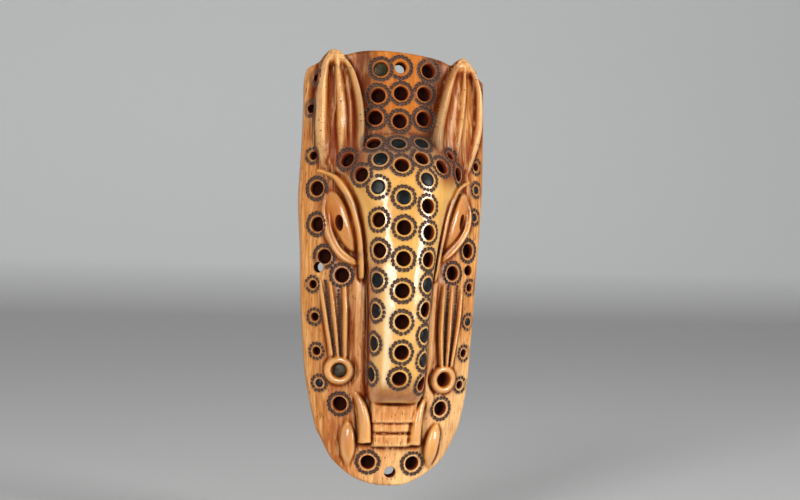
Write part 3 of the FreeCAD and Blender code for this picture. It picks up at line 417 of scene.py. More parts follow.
def head(x, drop):
    left, right = (eased(drop, HEAD_EDGES, k) for k in (1, 2))
    middle, half = (left + right) / 2, (right - left) / 2
    curved = drop - CROWN_CURVE * x * x * step(*CROWN_CURVED, drop)
    height, square = (eased(curved, HEAD_HEIGHTS, k) for k in (1, 2))
    s = np.clip(np.abs(x - middle) / half, 0, 1)
    rounded = np.maximum(1 - s**square, 0) ** (1 / square)
    snout = eased(s, SNOUT_SECTION, 1)
    return np.maximum(height, 0) * (rounded + (snout - rounded) * step(*SNOUT_FROM, drop))


# The mouth: its top, how long it is, its sides there and how far they draw in to its foot.
MOUTH_TOP, MOUTH_LENGTH = 155.0, 20.4
MOUTH_LEFT, MOUTH_RIGHT = (-11.4, 1.6), (11.2, 2.6)
MOUTH_SIDE_WALL = 0.7
MOUTH_STARTS, MOUTH_ENDS = (153.0, 154.0), (176.0, 175.2)
# Down it come the lip, the jaw and the chin: how high each stands, and the drop it ends at.
LIP_HEIGHT, JAW_HEIGHT, CHIN_HEIGHT = 5.2, 3.9, 3.5
LIP_END, JAW_END = 164.2, 171.0
LIP_DIP, LIP_DIPS = 0.5, (155.0, 160.0)
LIP_RISE, LIP_RISES = 0.3, (160.0, 163.6)
# Lines cut across it: drop, half width, depth and how far from the sides they deepen.
TEETH_LINE = (169.3, 0.75, 1.9, (0.4, 1.4))
LIP_LINE = (164.6, 0.45, 0.7, (0.2, 1.0))


def mouth(x, drop):
    t = np.clip((drop - MOUTH_TOP) / MOUTH_LENGTH, 0, 1)
    left, right = MOUTH_LEFT[0] + MOUTH_LEFT[1] * t, MOUTH_RIGHT[0] - MOUTH_RIGHT[1] * t
    inside = np.minimum(x - left, right - x)

    def line_cut(at, width, depth, deepens):
        return depth * bell(drop - at, width) * step(*deepens, inside)

    lip = LIP_HEIGHT - LIP_DIP * step(*LIP_DIPS, drop) + LIP_RISE * step(*LIP_RISES, drop)
    jaw = JAW_HEIGHT - line_cut(*TEETH_LINE)
    height = np.where(drop < LIP_END, lip, np.where(drop < JAW_END, jaw, CHIN_HEIGHT))
    height = height - line_cut(*LIP_LINE)
    wall = step(0.0, MOUTH_SIDE_WALL, inside)
    return height * wall * step(*MOUTH_STARTS, drop) * step(*MOUTH_ENDS, drop)


# The waves in the surface: how many across and down, and how high.
WAVES = (
    (0.31, 0.13, 0.09),
    (0.17, 0.42, 0.07),
    (0.83, 0.23, 0.05),
    (0.57, 0.91, 0.035),
    (1.7, 0.5, 0.025),
)


def unevenness(x, drop):
    """The faint waviness that a knife leaves."""
    total = np.zeros(x.shape)
    for n, (fx, fd, amount) in enumerate(WAVES):
        bent = fx * x + 1.7 * n + 1.3 * np.sin(fd * drop * 0.7 + n)
        total += amount * np.sin(bent) * np.cos(fd * drop + 2.1 * n)
    return total


# The cheeks' raised bands beside the snout: middle, where each ends, and its height.
CHEEK_BANDS = ((-16.6, (158.0, 148.0), 1.6), (15.8, (160.0, 150.0), 2.6))
CHEEK_BAND_STARTS = (92.0, 104.0)
CHEEK_BAND_HALF_WIDTH = 3.6
GROOVE_THINNEST = 0.3
# The groove round an eyeball: how far out, half width and depth; and the ball in it.
SOCKET_SPAN, SOCKET_WIDTH, SOCKET_DEPTH = 1.1, 0.13, 0.7
EYEBALL_ROUND, EYEBALL_SINK = 0.62, 0.2
# The line cut along a lid, where the lid is wide enough.
LID_LINE_WIDTH, LID_LINE_DEPTH, LID_LINE_FROM = 0.42, 1.1, (0.9, 1.5)
# Grooves round a foot: depth, gap, half width, the ridge widths it grows over, clearance.
BROW_GROOVE = (0.9, 0.7, 0.6, (0.5, 1.2), 2.0)
FANG_GROOVE = (0.8, 0.5, 0.5, (0.6, 1.6), 1.0)
BAND_DEPTH, BAND_HALF_WIDTH = 0.5, 1.1
LOOP_GROOVE, LOOP_GROOVE_WIDTH, LOOP_GROOVE_DEPTH = 7.2, 0.9, 1.1
LOOP_GROOVE_STARTS = (-7.0, -3.0)
LOOP_FLOOR = 0.6
# The line under the nose: drop, half width, depth, its middle and where it runs out.
NOSE_LINE, NOSE_LINE_WIDTH, NOSE_LINE_DEPTH = 155.2, 0.6, 2.2
NOSE_LINE_MIDDLE, NOSE_LINE_ENDS = -1.0, (8.0, 2.0)
# How square each kind of ridge is, and how softly each form meets what it stands on.
LID_SQUARE, BROW_SQUARE, WHISKER_SQUARE, FANG_SQUARE = 2.6, 2.2, 2.2, 2.3
HEAD_JOIN, JOIN, FINE_JOIN, WHISKER_JOIN = 0.8, 0.3, 0.25, 0.2
# Added past a ridge's end that is cut off flat.
BEYOND_END = 99.0


def laid(surface, x, drop, ridges, square, join, groove=None, reach=REACH, ends="round"):
    """The surface with ridges laid over it, and a groove cut round their feet."""
    for points in ridges:
        side, past, away, width, height = ridge_near(x, drop, points, reach)
        width = np.maximum(width, THINNEST)
        if groove:
            depth, gap, spread, grows, clear = groove
            cut_in = depth * bell(away - width - gap, spread) * step(*grows, width)
            surface = surface - cut_in * (surface < height + clear)
        if ends != "round":
            away = np.abs(side) + (BEYOND_END * (past > 0) if ends == "flat" else past)
        surface = over(surface, height * swell(away / width, square), join)
    return surface


def plate_relief(x, drop):
    """The cheeks, the eyeballs and the lids, which the head stands over."""
    ground = np.zeros(x.shape)
    for points in (LEFT_CHEEK_GROOVE, RIGHT_CHEEK_GROOVE):
        _, _, away, width, depth = ridge_near(x, drop, points)
        ground = ground - depth * bell(away, np.maximum(width, GROOVE_THINNEST))
    for middle, ends, height in CHEEK_BANDS:
        band = swell((x - middle) / CHEEK_BAND_HALF_WIDTH)
        ground = ground + height * (band * step(*CHEEK_BAND_STARTS, drop) * step(*ends, drop))
    for eye in EYES:
        span = eye_span(x, drop, eye)
        socket = SOCKET_DEPTH * bell(span - SOCKET_SPAN, SOCKET_WIDTH)
        ball = eye[-1] * np.maximum(1 - span * span, 0) ** EYEBALL_ROUND
        ground = over(ground - socket, ball - EYEBALL_SINK, JOIN)
    for lid in LIDS:
        side, _, away, width, height = ridge_near(x, drop, lid)
        width = np.maximum(width, THINNEST)
        line = LID_LINE_DEPTH * bell(side, LID_LINE_WIDTH) * (away < width)
        shape = height * swell(away / width, LID_SQUARE) - line * step(*LID_LINE_FROM, width)
        ground = over(ground, shape, JOIN)
    return ground


def relief(x, drop):
    """How far the carving stands above the plate's face."""
    surface = over(plate_relief(x, drop), head(x, drop), HEAD_JOIN)
    surface = laid(surface, x, drop, BROWS, BROW_SQUARE, FINE_JOIN, BROW_GROOVE, BROW_REACH)
    surface = laid(surface, x, drop, WHISKERS, WHISKER_SQUARE, WHISKER_JOIN)
    for band in WHISKER_BANDS:
        side, past, _ = along(x, drop, band, BAND_REACH)
        surface = surface - BAND_DEPTH * bell(np.hypot(side, past), BAND_HALF_WIDTH)
    for lx, ld in LOOPS:
        r = np.hypot(x - lx, drop - ld)
        starts = step(ld + LOOP_GROOVE_STARTS[0], ld + LOOP_GROOVE_STARTS[1], drop)
        surface = surface - LOOP_GROOVE_DEPTH * bell(r - LOOP_GROOVE, LOOP_GROOVE_WIDTH) * starts
        form = LOOP_HEIGHT * swell((r - LOOP_MIDDLE) / LOOP_HALF_WIDTH, WHISKER_SQUARE)
        surface = over(surface, form, WHISKER_JOIN)
        surface = np.where(r < LOOP_MIDDLE, np.maximum(surface, LOOP_FLOOR), surface)
    surface = over(surface, mouth(x, drop), JOIN)
    for fangs, ends in ((UPPER_FANGS, "flat"), (LOWER_FANGS, "pointed")):
        surface = laid(surface, x, drop, fangs, FANG_SQUARE, FINE_JOIN, FANG_GROOVE, ends=ends)
    nose_ends = step(*NOSE_LINE_ENDS, np.abs(x - NOSE_LINE_MIDDLE))
    surface = surface - NOSE_LINE_DEPTH * bell(drop - NOSE_LINE, NOSE_LINE_WIDTH) * nose_ends
    for edges, section in ((LEFT_EAR, LEFT_EAR_SECTION), (RIGHT_EAR, RIGHT_EAR_SECTION)):
        surface = over(surface, ear(x, drop, edges, section), FINE_JOIN)
    return surface + unevenness(x, drop)


def bow(x, drop, lift=0.0):
    """Where the plate's face lies, front to back, at a height above it."""
    inner = np.sqrt(np.maximum((CROSS_RADIUS + lift) ** 2 - x * x, 1.0))
    return AXIS_Y - np.sqrt((LONG_RADIUS - CROSS_RADIUS + inner) ** 2 - (MIDDLE - drop) ** 2)


class Field:
    """Values over the face, on a fine grid that can be read anywhere."""

    STEP = 0.25
    LEFT, RIGHT, TOP, BOTTOM = -48.0, 48.0, -12.0, 200.0
    JUST_INSIDE = 1.001

    def __init__(self, values=None):
        self.xs = np.arange(self.LEFT, self.RIGHT + self.STEP / 2, self.STEP)
        self.drops = np.arange(self.TOP, self.BOTTOM + self.STEP / 2, self.STEP)
        if values is None:
            grid_x, grid_drop = np.meshgrid(self.xs, self.drops)
            values = relief(grid_x, grid_drop)
        self.values = values

    def at(self, x, drop):
        u = np.clip((x - self.LEFT) / self.STEP, 0, len(self.xs) - self.JUST_INSIDE)
        v = np.clip((drop - self.TOP) / self.STEP, 0, len(self.drops) - self.JUST_INSIDE)
        i, j = v.astype(int), u.astype(int)
        fv, fu = v - i, u - j
        g = self.values
        return (
            g[i, j] * (1 - fv) * (1 - fu)
            + g[i + 1, j] * fv * (1 - fu)
            + g[i, j + 1] * (1 - fv) * fu
            + g[i + 1, j + 1] * fv * fu
        )

    def blurred(self, spread):
        h, w = self.values.shape
        fy = np.fft.fftfreq(h, self.STEP)[:, None]
        fx = np.fft.rfftfreq(w, self.STEP)[None, :]
        soften = np.exp(-2 * (math.pi * spread) ** 2 * (fx**2 + fy**2))
        return Field(np.fft.irfft2(np.fft.rfft2(self.values) * soften, s=(h, w)))


# How far the carving's corners and its steep walls are eased, and which slopes are steep.
CORNER_EASE, WALL_EASE = 0.26, 0.6
SLOPE_EASE, STEEP_SLOPES, STEEP_EASE = 0.4, (3.5, 6.0), 0.5


def softened(drawn):
    """The carving with its corners eased, and its steep walls eased further."""
    crisp, eased_walls = drawn.blurred(CORNER_EASE), drawn.blurred(WALL_EASE)
    slope = np.hypot(*np.gradient(drawn.blurred(SLOPE_EASE).values, Field.STEP))
    steep = Field(step(*STEEP_SLOPES, slope)).blurred(STEEP_EASE).values
    return Field(crisp.values + (eased_walls.values - crisp.values) * np.clip(steep, 0, 1))


carving = softened(Field())


def face_y(x, drop):
    return bow(x, drop) - carving.at(x, drop)


def outward(x, drop, span):
    """The way out of the face, taken over a span either side."""
    slope_x = (face_y(x + span, drop) - face_y(x - span, drop)) / (2 * span)
    slope_z = (face_y(x, drop - span) - face_y(x, drop + span)) / (2 * span)
    n = np.stack([slope_x, -np.ones_like(slope_x), slope_z], -1)
    return n / np.linalg.norm(n, axis=-1, keepdims=True)


def point(x, drop):
    return np.stack([x, face_y(x, drop), -drop], -1)


# Spans over which the way out is taken: for a walk, a spot, a pupil and a dot.
WALK_SPAN, SPOT_SPAN, PUPIL_SPAN, DOT_SPAN = 0.3, 1.6, 1.5, 0.6
WALK_PACES = 14


def walk(x, drop, heading, distance):
    """Where one gets by walking over the face from a place along a heading."""
    x, drop = x.copy(), drop.copy()
    pace = distance / WALK_PACES
    for _ in range(WALK_PACES):
        n = outward(x, drop, WALK_SPAN)
        flat = heading - (heading * n).sum(-1, keepdims=True) * n
        flat /= np.maximum(np.linalg.norm(flat, axis=-1, keepdims=True), 1e-6)
        x += flat[:, 0] * pace
        drop -= flat[:, 2] * pace
    return x, drop


# ---------------------------------------------------------------- meshes


def mesh_object(name, points, faces, materials, indices=None):
    mesh = bpy.data.meshes.new(name)
    mesh.from_pydata([tuple(p) for p in np.asarray(points) * MM], [], faces)
    for m in materials:
        mesh.materials.append(m)
    if indices is not None:
        mesh.polygons.foreach_set("material_index", np.asarray(indices, np.int32))
    mesh.update()
    obj = bpy.data.objects.new(name, mesh)
    bpy.context.scene.collection.objects.link(obj)
    return obj


EDGE_SAMPLES = 4000
EDGE_SMOOTHINGS = 6


def plate_grid():
    """The face's grid of places, fitted between the four edges, and pulled in for the rim."""
    across, down = CELLS_ACROSS + 1, CELLS_DOWN + 1
    top = through(TOP_EDGE, across)
    whole = through(LEFT_EDGE + BOTTOM_EDGE[1:-1] + RIGHT_EDGE[::-1], EDGE_SAMPLES)
    first = int(np.argmin(np.hypot(*(whole - LEFT_EDGE[-1]).T)))
    last = int(np.argmin(np.hypot(*(whole - RIGHT_EDGE[-1]).T)))
    left = whole[np.linspace(0, first, down).round().astype(int)]
    bottom = whole[np.linspace(first, last, across).round().astype(int)]
    right = whole[np.linspace(len(whole) - 1, last, down).round().astype(int)]
    loop = np.vstack([left[:-1], bottom[:-1], right[::-1][:-1], top[::-1][:-1]])
    tangent = np.roll(loop, -2, 0) - np.roll(loop, 2, 0)
    tangent /= np.linalg.norm(tangent, axis=1, keepdims=True)
    normal = np.stack([-tangent[:, 1], tangent[:, 0]], 1)
    for _ in range(EDGE_SMOOTHINGS):
        normal = (np.roll(normal, 1, 0) + 2 * normal + np.roll(normal, -1, 0)) / 4
        normal /= np.linalg.norm(normal, axis=1, keepdims=True)
    inner = loop - normal * RIM
    corner = np.cumsum([CELLS_DOWN, CELLS_ACROSS, CELLS_DOWN])
    l = inner[: corner[0] + 1]
    b = inner[corner[0] : corner[1] + 1]
    r = inner[corner[1] : corner[2] + 1][::-1]
    t = np.vstack([inner[corner[2] :], inner[:1]])[::-1]
    u = np.linspace(0, 1, across)[None, :, None]
    v = np.linspace(0, 1, down)[:, None, None]
    grid = (1 - v) * t[None] + v * b[None] + (1 - u) * l[:, None] + u * r[:, None]
    grid -= (1 - u) * (1 - v) * t[0] + u * (1 - v) * t[-1] + (1 - u) * v * b[0] + u * v * b[-1]
    return grid, loop, normal


def body_mesh(materials):
    grid, loop, normal = plate_grid()
    down, across = grid.shape[:2]
    gx, gd = grid[..., 0].ravel(), grid[..., 1].ravel()
    number = np.arange(down * across).reshape(down, across)
    cells = [number[:-1, :-1], number[1:, :-1], number[1:, 1:], number[:-1, 1:]]
    faces = np.stack(cells, -1).reshape(-1, 4).tolist()
    edge = np.r_[number[:-1, 0], number[-1, :-1], number[:0:-1, -1], number[0, :0:-1]]
    lift = carving.at(*(loop - normal * RIM).T)
    points = [point(gx, gd)]
    rings = [edge]
    total = len(gx)

    def add_ring(place, y):
        points.append(np.stack([place[:, 0], y, -place[:, 1]], 1))
        rings.append(np.arange(total, total + len(loop)))
        return total + len(loop)

    # The rim: a quarter round off the face, the wall, and a quarter round on to the back.
    for k in range(1, 2 * RIM_STEPS + 1):
        back_side = k > RIM_STEPS
        angle = (k if not back_side else 2 * RIM_STEPS - k) / RIM_STEPS * math.pi / 2
        place = loop - normal * RIM * (1 - math.sin(angle))
        inset = RIM * (1 - math.cos(angle))
        if back_side:
            total = add_ring(place, bow(*place.T, -WALL) - inset)
        else:
            total = add_ring(place, bow(*place.T) - lift + inset)
        if k == RIM_STEPS:
            total = add_ring(place, bow(*place.T, -WALL) - RIM)
    for a, b in zip(rings, rings[1:]):
        faces += np.stack([a, b, np.roll(b, -1), np.roll(a, -1)], 1).tolist()
    # The back: facets BACK_STEP cells wide, whose outer sides keep every point of the rim.
    rim_at = {int(n): int(m) for n, m in zip(edge, rings[-1])}
    keep = {}
    back = []
    for i in range(0, down, BACK_STEP):
        for j in range(0, across, BACK_STEP):
            n = int(number[i, j])
            if n in rim_at:
                keep[n] = rim_at[n]
            else:
                keep[n] = total + len(back)
                back.append((gx[n], float(bow(gx[n], gd[n], -WALL)), -gd[n]))
    points.append(np.array(back))
    for i in range(0, down - 1, BACK_STEP):
        for j in range(0, across - 1, BACK_STEP):
            ni, nj = i + BACK_STEP, j + BACK_STEP
            corners = [(i, j), (i, nj), (ni, nj), (ni, j)]
            ring = []
            for (ai, aj), (bi, bj) in zip(corners, corners[1:] + corners[:1]):
                ring.append(keep[int(number[ai, aj])])
                si, sj = np.sign(bi - ai), np.sign(bj - aj)
                for s in range(1, BACK_STEP):
                    n = int(number[ai + si * s, aj + sj * s])
                    if n in rim_at:
                        ring.append(rim_at[n])
            faces.append(ring)
    return mesh_object("carved_body", np.vstack(points), faces, materials)


def turned(rings, sides, centre, axis, squash=1.0):
    """A closed turned form: rings of (height, radius) about an axis, tips of radius 0."""
    axis = np.asarray(axis, float)
    e1 = np.cross(axis, [0.0, 0.0, 1.0])
    e1 /= np.linalg.norm(e1)
    e2 = np.cross(axis, e1)
    points, rows = [], []
    for height, radius in rings:
        if radius == 0:
            rows.append([len(points)])
            points.append(centre + axis * height)
            continue
        rows.append(list(range(len(points), len(points) + sides)))
        for k in range(sides):
            a = 2 * math.pi * k / sides
            arm = math.cos(a) * e1 + squash * math.sin(a) * e2
            points.append(centre + axis * height + radius * arm)
    faces = []
    for lower, upper in zip(rows, rows[1:]):
        for k in range(sides):
            m = (k + 1) % sides
            if len(lower) == 1:
                faces.append([lower[0], upper[m], upper[k]])
            elif len(upper) == 1:
                faces.append([lower[k], lower[m], upper[0]])
            else:
                faces.append([lower[k], lower[m], upper[m], upper[k]])
    return points, faces


def gathered(forms):
    points, faces = [], []
    for p, f in forms:
        base = len(points)
        points += list(p)
        faces += [[n + base for n in one] for one in f]
    return np.array(points), faces


# A loop's hole starts this far under the plate's face.
LOOP_SINK = 1.6


def spot_axes():
    names = list(SPOTS)
    x = np.array([SPOTS[n][0] for n in names])
    drop = np.array([SPOTS[n][1] for n in names])
    centres = point(x, drop)
    axes = outward(x, drop, SPOT_SPAN)
    for k, n in enumerate(names):
        in_loop = n.startswith("whisker")
        if in_loop or n in BY_AN_EAR:
            lean = x[k] / CROSS_RADIUS
            axes[k] = np.array([lean, -1.0, 0.0]) / math.hypot(lean, 1.0)
            centres[k, 1] = bow(x[k], drop[k]) - (LOOP_SINK if in_loop else 0.0)
    return names, x, drop, centres, axes


SPOT_NAMES, SPOT_X, SPOT_DROP, SPOT_CENTRES, SPOT_AXES = spot_axes()
BORE_SIDES, PUPIL_SIDES, DOT_SIDES, INLAY_SIDES = 30, 24, 9, 32
# How far a bore's mouth opens, and how far its cutter stands out of the face.
TIGHT_MOUTH, WORN_MOUTH = 0.04, 0.3
CUTTER_REACH, CUTTER_REACH_BY_AN_EAR = 3.2, 0.7


def spot_cutters():
    forms = []
    for k, name in enumerate(SPOT_NAMES):
        bore = SPOTS[name][2]
        depth = FILLED_DEPTH if name in FILLED else SPOT_DEPTH
        flare = TIGHT_MOUTH if name in FILLED and name not in DEEP_SET else WORN_MOUTH
        top = CUTTER_REACH_BY_AN_EAR if name in BY_AN_EAR else CUTTER_REACH
        rings = [(-depth - 0.15, 0), (-depth, bore * 0.62), (-depth + 0.7, bore * 0.95)]
        rings += [(-0.35, bore), (0.05, bore + flare), (top, bore + 1.5 * flare), (top + 0.2, 0)]
        forms.append(turned(rings, BORE_SIDES, SPOT_CENTRES[k], SPOT_AXES[k]))
    return forms


def cord_cutters():
    forms = []
    for x, drop, bore in CORD_HOLES:
        way = np.array([x / CROSS_RADIUS, -1.0, (MIDDLE - drop) / LONG_RADIUS])
        centre = np.array([x, float(bow(x, drop)), -drop])
        rings = [(-9.0, 0), (-8.8, bore), (-0.4, bore), (0.3, bore + 0.5)]
        rings += [(4.0, bore + 0.6), (4.2, 0)]
        forms.append(turned(rings, BORE_SIDES, centre, way / math.sqrt((way * way).sum())))
    return forms


def pupil_cutters():
    forms = []
    for place in PUPILS:
        x, drop = (np.array([value]) for value in place)
        w = PUPIL_HALF_WIDTH
        rings = [(-2.9, 0), (-2.7, w * 0.6), (-1.8, w * 0.9), (-0.3, w)]
        rings += [(0.2, w + 0.25), (3.0, w + 0.3), (3.2, 0)]
        axis = outward(x, drop, PUPIL_SPAN)[0]
        stretch = PUPIL_HALF_LENGTH / PUPIL_HALF_WIDTH
        forms.append(turned(rings, PUPIL_SIDES, point(x, drop)[0], axis, stretch))
    return forms


# How unevenly the dots are punched: round a ring, out from it, off a band, and in size.
ROUND_SHAKE, OUT_SHAKE, BAND_SHAKE = 0.1, 0.2, 0.14
RING_SIZES, BAND_SIZES = (0.9, 1.08), (0.9, 1.12)
# How near a dot may come to the plate's edge, a spot, a cord hole and another dot.
EDGE_CLEARANCE, SPOT_CLEARANCE, CORD_CLEARANCE = 1.9, 0.95, 1.2
DOTS_APART, DOTS_LOOKED_AT = 0.66, 2


def dot_places():
    """Every punched dot: place, way out and radius, none over a spot or over another dot."""
    starts, headings, distances, sizes = [], [], [], []
    shake = np.random.default_rng(7)
    for k, name in enumerate(SPOT_NAMES):
        bore = SPOTS[name][2]
        if bore not in RINGS:
            continue
        ring, dot, count = RINGS[bore]
        e1 = np.cross(SPOT_AXES[k], [0, 0, 1.0])
        e1 /= np.linalg.norm(e1)
        e2 = np.cross(SPOT_AXES[k], e1)
        turn = shake.uniform(0, 2 * math.pi)
        for c in range(count):
            a = turn + 2 * math.pi * (c + shake.uniform(-ROUND_SHAKE, ROUND_SHAKE)) / count
            starts.append(k)
            headings.append(math.cos(a) * e1 + math.sin(a) * e2)
            distances.append(ring + shake.uniform(-OUT_SHAKE, OUT_SHAKE))
            sizes.append(dot * shake.uniform(*RING_SIZES))
    # The top cord hole has a ring of its own.
    ring, dot, count = RINGS[BIG]
    for c in range(count):
        a = 2 * math.pi * c / count
        starts.append(len(SPOT_NAMES))
        headings.append(np.array([math.cos(a), 0.0, math.sin(a)]))
        distances.append(ring)
        sizes.append(dot)
    starts, headings = np.array(starts), np.array(headings)
    from_x, from_drop = np.r_[SPOT_X, CORD_HOLES[0][0]], np.r_[SPOT_DROP, CORD_HOLES[0][1]]
    x, drop = walk(from_x[starts], from_drop[starts], headings, np.array(distances))
    sizes = np.array(sizes)
    for band in WHISKER_BANDS:
        length = sum(math.dist(a, b) for a, b in zip(band, band[1:]))
        count = int(length / BAND_STEP)
        line = through(band, count)
        line = line + shake.uniform(-BAND_SHAKE, BAND_SHAKE, line.shape)
        x, drop = np.r_[x, line[:, 0]], np.r_[drop, line[:, 1]]
        sizes = np.r_[sizes, BAND_DOT * shake.uniform(*BAND_SIZES, count)]
        starts = np.r_[starts, np.full(count, -1)]
    places, axes = point(x, drop), outward(x, drop, DOT_SPAN)
    edges = (LEFT_EDGE, RIGHT_EDGE, TOP_EDGE, BOTTOM_EDGE)
    outline = np.vstack([through(e, 400) for e in edges])
    bores = np.array([SPOTS[s][2] for s in SPOT_NAMES])
    kept = []
    for n in range(len(x)):
        from_edge = (outline[:, 0] - x[n]) ** 2 + (outline[:, 1] - drop[n]) ** 2
        from_spots = np.linalg.norm(SPOT_CENTRES - places[n], axis=1)
        others = np.arange(len(SPOT_NAMES)) != starts[n]
        at_hole = any(
            math.hypot(x[n] - hx, drop[n] - hd) < hr + CORD_CLEARANCE for hx, hd, hr in CORD_HOLES
        )
        at_loop = any(math.hypot(x[n] - lx, drop[n] - ld) < LOOP_GROOVE for lx, ld in LOOPS)
        at_spot = np.any((from_spots < bores + SPOT_CLEARANCE) & others)
        if np.min(from_edge) < EDGE_CLEARANCE**2 or at_spot or at_hole or at_loop:
            continue
        if not any(
            abs(x[m] - x[n]) < DOTS_LOOKED_AT
            and np.linalg.norm(places[m] - places[n]) < DOTS_APART * (sizes[m] + sizes[n])
            for m in kept
        ):
            kept.append(n)
    return places[kept], axes[kept], sizes[kept]


DOT_PLACES, DOT_AXES, DOT_SIZES = dot_places()
# Dots cut together lie at least this many radii apart.
GROUP_CLEARANCE = 1.15


def dot_cutters():
    """The dots in groups whose members lie apart."""
    groups = []
    for place, axis, size in zip(DOT_PLACES, DOT_AXES, DOT_SIZES):
        depth = DOT_DEPTH * size / DOT_DEPTH_RADIUS
        rings = [(-depth, 0), (-depth * 0.88, size * 0.45), (-depth * 0.45, size * 0.86)]
        rings += [(0.05, size), (0.5, size * 1.05), (0.7, 0)]
        form = turned(rings, DOT_SIDES, place, axis)
        for group in groups:
            if all(
                np.linalg.norm(place - p) > GROUP_CLEARANCE * (size + s) for p, s in group["near"]
            ):
                break
        else:
            group = {"near": [], "forms": []}
            groups.append(group)
        group["near"].append((place, size))
        group["forms"].append(form)
    return [g["forms"] for g in groups]


def cut(obj, forms, materials, index):
    """Cuts the forms out of an object, and gives what they cut the material of that index."""
    points, faces = gathered(forms)
    tool = mesh_object("cutter", points, faces, materials, [index] * len(faces))
    modifier = obj.modifiers.new("cut", "BOOLEAN")
    modifier.operation = "DIFFERENCE"
    modifier.solver = "MANIFOLD"
    modifier.object = tool
    modifier.material_mode = "TRANSFER"
    graph = bpy.context.evaluated_depsgraph_get()
    graph.update()
    result = bpy.data.meshes.new_from_object(obj.evaluated_get(graph))
    obj.modifiers.clear()
    old = obj.data
    obj.data = result
    bpy.data.meshes.remove(old)
    mesh = tool.data
    bpy.data.objects.remove(tool)
    bpy.data.meshes.remove(mesh)


# ---------------------------------------------------------------- colours


def linear(r, g, b):
    c = np.array([r, g, b]) / 255
    return np.where(c <= 0.04045, c / 12.92, ((c + 0.055) / 1.055) ** 2.4)


def mixed(a, b, amount):
    return a + (b - a) * np.clip(amount, 0, 1)[:, None]


HONEY = linear(198, 132, 66)
GOLD = linear(212, 132, 34)
WARM_GOLD = linear(194, 112, 16)
# The pale of the painted highlights down the snout's bevels.
PAINTED_HIGHLIGHT = linear(252, 220, 172)
# The brown of the painted shade under the nose's end.
NOSE_SHADE = linear(152, 80, 20)
AMBER = linear(172, 90, 18)
UMBER = linear(80, 34, 10)
EARTH = linear(150, 64, 14)
RED_EARTH = linear(116, 44, 14)
CREAM = linear(220, 164, 72)
PALE = linear(244, 198, 134)
PINK = linear(208, 138, 78)
RUST = linear(112, 36, 6)
# DEEP is the near-black of the patina and painted shade in the deepest hollows.
DEEP = linear(46, 14, 4)
SOOT = linear(92, 66, 52)
BACK_TONE = mixed(HONEY[None], AMBER, np.array([0.2]))
BACK_SHEEN, BACK_GRAIN = 0.25, 0.4

# Hollows are read between a close and a wide ease, dips between a close and a far one.
CLOSE_EASE, WIDE_EASE, FAR_EASE = 0.32, 0.9, 2.4
HOLLOW_GAIN = 1.25
SNOUT_STARTS = (84, 96)
CHEEK_STARTS = 92
SOOT_HALF_WIDTH = 1.2
SOOT_LOOKED_AT = 10


def carved_share(x, drop):
    """1 on the whiskers and their loops, the brows, the lids and the fangs."""
    carved = np.zeros(len(x))
    for line in WHISKERS + BROWS + LIDS + UPPER_FANGS + LOWER_FANGS:
        _, _, away, width, _ = ridge_near(x, drop, line)
        carved = np.maximum(carved, step(0.4, -0.3, away - width) * (width > 0))
    for lx, ld in LOOPS:
        r = np.abs(np.hypot(x - lx, drop - ld) - LOOP_MIDDLE)
        carved = np.maximum(carved, step(0.3, -0.3, r - LOOP_HALF_WIDTH))
    return carved


def soot_share(x, drop, co):
    """How much soot lies round the spots, across the crown's start and in the dotted bands."""
    soot = np.zeros(len(x))
    for k, name in enumerate(SPOT_NAMES):
        _, _, bore, amount = SPOTS[name]
        if amount == 0:
            continue
        close = np.maximum(np.abs(x - SPOT_X[k]), np.abs(drop - SPOT_DROP[k])) < SOOT_LOOKED_AT
        r = np.linalg.norm(co[close] - SPOT_CENTRES[k], axis=1)
        around = bell(r - RINGS[bore][0], SOOT_HALF_WIDTH, 4)
        soot[close] = np.maximum(soot[close], (0.35 + 0.65 * amount) * around)
    soot = soot + 0.65 * bell(drop - 36, 8) * step(24, 16, np.abs(x))
    for band in WHISKER_BANDS:
        side, past, _ = along(x, drop, band, BAND_REACH)
        soot = np.maximum(soot, 0.8 * bell(np.hypot(side, past), 1.0))
    r = np.hypot(x - CORD_HOLES[0][0], drop - CORD_HOLES[0][1])
    return np.maximum(soot, 0.8 * bell(r - RINGS[BIG][0], SOOT_HALF_WIDTH, 4))


